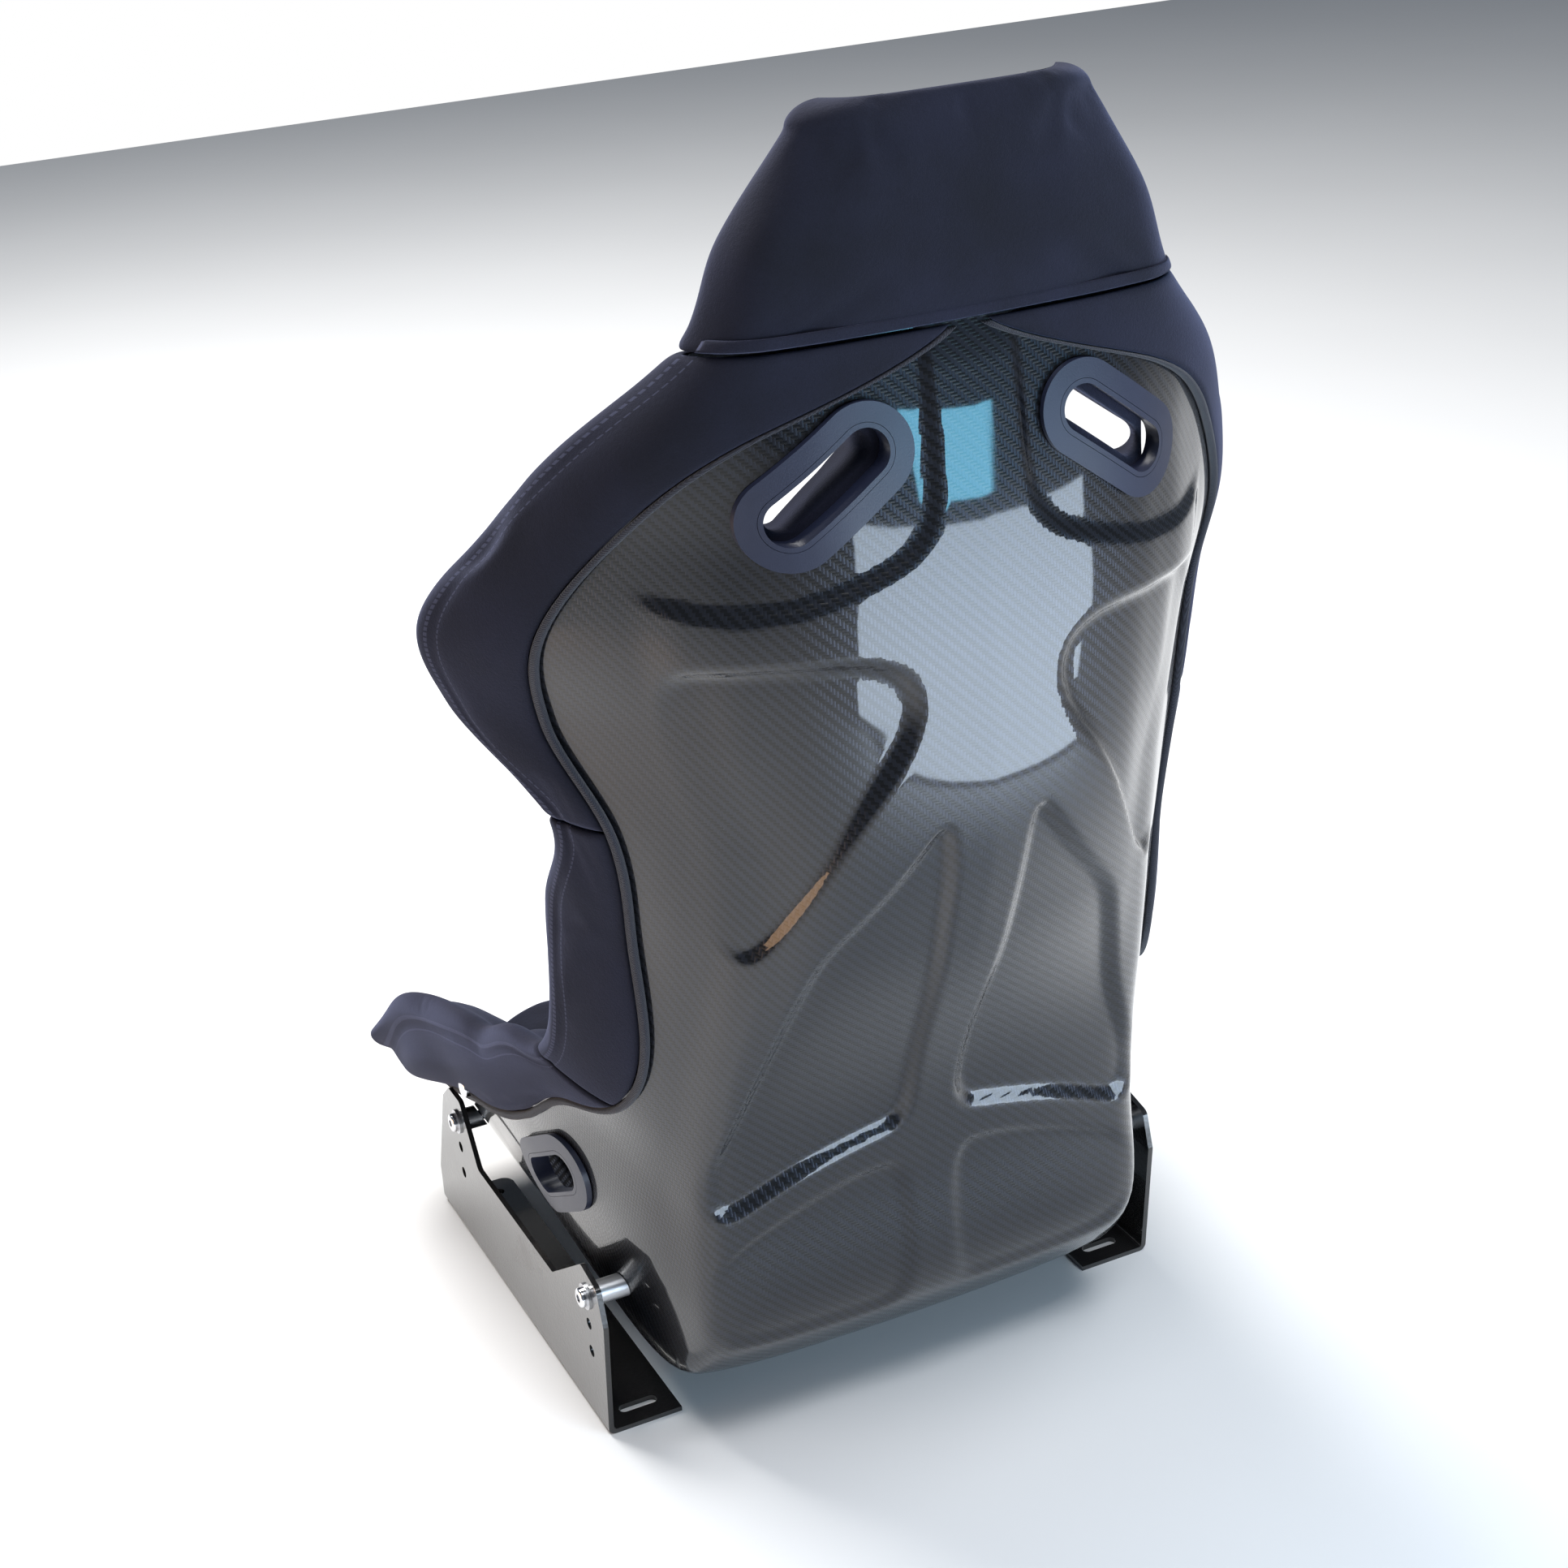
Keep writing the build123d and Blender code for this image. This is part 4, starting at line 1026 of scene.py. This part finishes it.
    def crown_panel(self, section: Section, lifts: np.ndarray) -> None:
        """The domed panel that closes the hood over the crown."""
        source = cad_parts["hood_top_panel"]
        bm = bmesh.new()
        bm.from_mesh(source.data)
        bmesh.ops.remove_doubles(bm, verts=bm.verts, dist=1e-5)
        low = min(vert.co.z for vert in bm.verts)
        for vert in bm.verts:
            vert.co.x *= 0.86
            vert.co.y = 0.335 + (vert.co.y - 0.335) * 0.7
            vert.co.z = low + (vert.co.z - low) * 0.72
        piece = piece_from(bm, "hood_crown_padding", self.cushion_fabric)
        even = piece.modifiers.new("Even", "REMESH")
        even.mode, even.voxel_size = "VOXEL", 0.0035
        applied(piece)
        top = max(v.co.z for v in piece.data.vertices)
        low = min(v.co.z for v in piece.data.vertices)
        stuffed(piece, Stuffing(3.0, 0.004, 12, 0.8), lambda co: 1.0 if co.z < low + 0.2 * (top - low) else 0.0)
        self.dressed(piece, "hood_top_panel")

    def cushion(self, node: str, start: float, end: float, half_width: float, thickness: float, lift: float,
                keep: float, channels: Sequence[float]) -> bpy.types.Object:
        """A crowned cushion with sewn channels.

        Args:
            node: The solid that it stands for.
            start: Where it begins, down the shell.
            end: Where it ends.
            half_width: From the middle to its side.
            thickness: At its fullest.
            lift: Of the side that lies on the shell.
            keep: Share of the thickness that its far end keeps.
            channels: Sewn lines across it, as shares of its length.

        Returns:
            The piece.
        """
        radius = 9.0
        places = dense(start, end, 7.0, radius)
        across_mm = dense(-half_width, half_width, 8.0, radius)
        face, back, cloth = [], [], []
        for s in places:
            section = self.form.section(float(s))
            share = (s - start) / (end - start)
            ends = max((1.0 - abs(2 * share - 1) ** 4) ** 0.5, keep if share > 0.5 else 0.0)
            pull = 1.0 - 0.012 * math.sin(math.pi * share)
            off = across_mm * pull
            backs = section.length - np.abs(off)
            crown = np.clip(1.0 - (np.abs(off) / half_width) ** 4, 0.0, 1.0) ** 0.5
            sewn = sum(3.2 * math.exp(-((s - (start + c * (end - start))) / 4.0) ** 2) for c in channels)
            ribs = 2.4 * np.exp(-((np.abs(off) - 0.62 * half_width) / 4.0) ** 2)
            top = lift - 9.0 - (thickness - 9.0 - 2.5) * crown * ends + np.maximum(sewn * (crown > 0.3), ribs)
            side = np.where(off < 0, -1.0, 1.0)
            for height, rows in ((top, face), (np.full(len(off), lift), back)):
                placed = section.place(section.flat(backs, height))
                placed[:, 0] *= side
                rows.append(placed)
            cloth.append(np.stack([off * MM + 0.3, np.full(len(off), s * MM)], -1))
        full = fullness(places, radius)[:, None] * fullness(across_mm, radius)[None, :]
        face_a, back_a = np.array(face), np.array(back)
        piece = pillow(node + "_padding", face_a, back_a, full, np.array(cloth), self.cushion_fabric, True)
        held = {tuple(np.round(p, 5)) for p in self.pinned(face_a, back_a, full)}
        stuffed(piece, Stuffing(3.0, 0.004, 12, 0.8), lambda co: 1.0 if tuple(np.round(co, 5)) in held else 0.0)
        if node in ("shoulder_cushion", "seat_cushion"):
            opened(piece, 17.0)
        return self.dressed(piece, node)

    def cushions(self) -> None:
        """The four cushions that lift off."""
        at, under = self.form.at, -(self.wall + self.bond) - 1.8
        plan = (("shoulder_cushion", at["neck"] + 6, self.form.run_at_z(676) - 5, 146.0, 32.0, under, 0.0, ()),
                ("head_cushion", 30.0, at["neck"] - 4, 82.0, 34.0, under - self.skin, 0.0, (0.5,)),
                ("back_cushion", self.form.run_at_z(676), at["waist"] + 20, 150.0, 38.0, under, 0.0, (0.36, 0.68)),
                ("lumbar_cushion", at["waist"] + 27, at["hip"] + 10, 141.0, 30.0, under, 0.0, (0.34, 0.67)),
                ("seat_cushion", at["tail"] + 14, self.form.end - 2, 162.0, 52.0, under, 0.88, (0.3, 0.6, 0.85)))
        for entry in plan:
            self.cushion(*entry)
            LOG.info("cushion %s", entry[0])

    def strip(self, name: str, node: str, rows: Sequence[tuple[Section, np.ndarray]], low: float, height: float,
              side: int, both: bool = False) -> bpy.types.Object:
        """A rounded tape laid on the shell.

        Args:
            name: Name of the piece.
            node: The solid that it stands for.
            rows: A section and the distances back from its edge, along the tape.
            low: Lift of its underside.
            height: Its height.
            side: 1 for the left, -1 for the right.
            both: Not used.

        Returns:
            The piece.
        """
        face, back, cloth = [], [], []
        for k, (section, backs) in enumerate(rows):
            face.append(section.place(section.flat(backs, np.full(len(backs), low + height)), side))
            back.append(section.place(section.flat(backs, np.full(len(backs), low)), side))
            cloth.append(np.stack([(backs - backs[0]) * MM, np.full(len(backs), k * 0.007)], -1))
        face_a, back_a = np.array(face), np.array(back)
        width = fullness(np.linspace(0, 7, face_a.shape[1]), 2.6)
        length = np.ones(len(rows))
        length[[0, -1]] = 0.0
        piece = pillow(name, face_a, back_a, length[:, None] * width[None, :], np.array(cloth), self.tape, side < 0)
        finer = piece.modifiers.new("Finer", "SUBSURF")
        finer.levels = finer.render_levels = 1
        return self.dressed(piece, node)

    def bindings(self) -> None:
        """The bound edges of the side covers and the hem of the hood."""
        at = self.form.at
        for side, word in ((1, "left"), (-1, "right")):
            rows = []
            for s in np.arange(at["neck"] + 2, self.form.end, 6.0):
                section = self.form.section(float(s))
                near = min(section.station.flap_out, section.length - 12.0) + 0.6
                rows.append((section, near + np.linspace(0, 7.5, 9)))
            self.strip(f"{word}_bound_edge", f"{word}_edge_binding", rows, 1.4, 5.6, side)
        end = at["neck"]
        face, back, cloth = [], [], []
        for s in end - 8.0 + np.linspace(0, 7.5, 9):
            section = self.form.section(float(s))
            half = section.length - np.linspace(0, section.length - 6.0, 48)
            for lift, keep in ((8.6, face), (6.4, back)):
                left = section.place(section.flat(half, np.full(len(half), lift)))
                keep.append(np.concatenate([(left * (-1, 1, 1))[::-1][:-1], left]))
            cloth.append(np.stack([np.linspace(0, 0.3, len(face[-1])), np.full(len(face[-1]), s * MM)], -1))
        face_a, back_a = np.array(face), np.array(back)
        across = np.ones(face_a.shape[1])
        across[[0, -1]] = 0.0
        full = fullness(np.linspace(0, 7, 9), 2.6)[:, None] * across[None, :]
        piece = pillow("hood_bound_hem", face_a, back_a, full, np.array(cloth), self.cushion_fabric, False)
        self.dressed(piece, "hood_hem_binding")

    def make(self) -> None:
        """Builds every soft piece."""
        self.covers()
        self.hood()
        self.cushions()
        self.bindings()


# ---------------------------------------------------------------- hard fittings
class Fittings:
    """The moulded, painted and plated pieces, which keep their shape."""

    def __init__(self) -> None:
        """Makes the finishes."""
        self.bezel = Moulding("bezel_moulding", (0.010, 0.013, 0.030), (0.022, 0.028, 0.060), 0.34).make()
        self.plate = Moulding("plate_moulding", (0.008, 0.008, 0.010), (0.020, 0.020, 0.024), 0.45).make()
        self.paint = PowderCoat().make()
        self.bright = BareMetal("bright_plating", (0.86, 0.87, 0.90), 0.08).make()
        self.zinc = BareMetal("zinc_plating", (0.55, 0.56, 0.58), 0.30, 0.6).make()
        self.alloy = BareMetal("turned_alloy", (0.62, 0.63, 0.65), 0.28, 1.0).make()
        self.hook = HookTape().make()

    def choose(self, node: str) -> bpy.types.Material | None:
        """The finish of a node, or None where a new piece stands for it."""
        rules = (("side_bracket", self.paint), ("backing_plate", self.plate), ("slot_bezel", self.bezel),
                 ("slot_sleeve", self.bezel), ("side_bolts", self.bright), ("press_studs", self.bright),
                 ("washers", self.zinc), ("spacers", self.zinc), ("inserts", self.alloy), ("hook", self.hook))
        return next((made for part, made in rules if part in node), None)

    def make(self) -> None:
        """Gives every carried-over node its finish."""
        for node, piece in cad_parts.items():
            finish = self.choose(node)
            if finish is not None:
                piece.data.materials.clear()
                piece.data.materials.append(finish)
                LOG.info("finish %s", node)


# ---------------------------------------------------------------- the studio
class Studio:
    """Camera, floor and soft lights."""
    lens: float = 61.68
    place: tuple[float, float, float] = (0.7434, 1.6828, 1.2371)
    azimuth: float = 2.7140
    pitch: float = 0.4302
    roll: float = -0.0628

    def camera(self) -> None:
        """Sets up the camera."""
        a, p, w = self.azimuth, self.pitch, self.roll
        back = Vector((math.sin(a) * math.cos(p), -math.cos(a) * math.cos(p), math.sin(p)))
        r0 = Vector((math.cos(a), math.sin(a), 0))
        u0 = Vector((-math.sin(a) * math.sin(p), math.cos(a) * math.sin(p), math.cos(p)))
        right = r0 * math.cos(w) + u0 * math.sin(w)
        up = u0 * math.cos(w) - r0 * math.sin(w)
        data = bpy.data.cameras.new("camera")
        data.lens, data.sensor_width = self.lens, 36.0
        data.clip_end = 60.0
        camera = bpy.data.objects.new("camera", data)
        camera.matrix_world = Matrix.Translation(self.place) @ Matrix((right, up, back)).transposed().to_4x4()
        bpy.context.scene.collection.objects.link(camera)
        bpy.context.scene.camera = camera

    def floor(self) -> None:
        """Sets up the floor."""
        net = Net("pale_floor")
        tone = noise(net, object_place(net), 2.0, 2.0)
        colour = net.mix(tone, (0.80, 0.80, 0.80), (0.84, 0.84, 0.84))
        material = net.finish(Base_Color=colour, Roughness=0.9)
        bm = bmesh.new()
        bmesh.ops.create_grid(bm, x_segments=1, y_segments=1, size=5.0)
        floor = piece_from(bm, "floor", material, smooth=False)

    def light(self, name: str, place: tuple[float, float, float], target: tuple[float, float, float],
              size: tuple[float, float], power: float, colour: tuple[float, float, float]) -> None:
        """Adds one soft box.

        Args:
            name: Name of the light.
            place: Where it stands.
            target: What it points at.
            size: Width and height.
            power: Watts.
            colour: Tint.
        """
        data = bpy.data.lights.new(name, "AREA")
        data.shape, data.size, data.size_y = "RECTANGLE", *size
        data.energy, data.color = power, colour
        lamp = bpy.data.objects.new(name, data)
        lamp.location = place
        lamp.rotation_mode = "QUATERNION"
        lamp.rotation_quaternion = (Vector(target) - Vector(place)).to_track_quat("-Z", "Y")
        bpy.context.scene.collection.objects.link(lamp)

    def make(self) -> None:
        """Builds the studio."""
        self.camera()
        self.floor()
        world = bpy.data.worlds.new("studio")
        world.use_nodes = True
        tree = world.node_tree
        tree.nodes.clear()
        seen = tree.nodes.new("ShaderNodeBackground")
        seen.inputs[0].default_value, seen.inputs[1].default_value = (1.0, 1.0, 1.0, 1.0), 1.0
        lit = tree.nodes.new("ShaderNodeBackground")
        lit.inputs[0].default_value, lit.inputs[1].default_value = (0.70, 0.82, 1.0, 1.0), 0.16
        path, blend = tree.nodes.new("ShaderNodeLightPath"), tree.nodes.new("ShaderNodeMixShader")
        out = tree.nodes.new("ShaderNodeOutputWorld")
        tree.links.new(path.outputs["Is Camera Ray"], blend.inputs[0])
        tree.links.new(lit.outputs[0], blend.inputs[1])
        tree.links.new(seen.outputs[0], blend.inputs[2])
        tree.links.new(blend.outputs[0], out.inputs[0])
        bpy.context.scene.world = world
        self.light("key", (0.5, -1.9, 3.2), (0, -0.2, 0.2), (2.2, 1.6), 190.0, (1.0, 0.99, 0.97))
        self.light("top", (-0.2, 1.2, 3.4), (0, 0.3, 0.2), (2.4, 1.6), 85.0, (0.95, 0.97, 1.0))
        self.light("low_box", (-0.46, 1.35, 0.26), (0, 0.36, 0.56), (0.95, 0.50), 13.0, (0.70, 0.84, 1.0))
        self.light("blue_box", (-0.42, 1.30, 0.66), (0, 0.36, 0.80), (0.26, 0.16), 1.6, (0.22, 0.70, 1.0))
        self.light("side_box", (1.5, -0.1, 0.35), (0.2, 0.1, 0.25), (0.8, 0.5), 5.0, (1.0, 0.62, 0.36))
        bpy.context.scene.view_settings.view_transform = "Standard"


def main() -> None:
    """Builds the seat's looks and the studio."""
    logging.basicConfig(level=logging.INFO, format="%(message)s")
    form = Form()
    CarbonShell(form).make()
    LOG.info("shell")
    Upholstery(form).make()
    Fittings().make()
    Studio().make()
    bpy.context.view_layer.update()


if __name__ == "__main__":
    main()
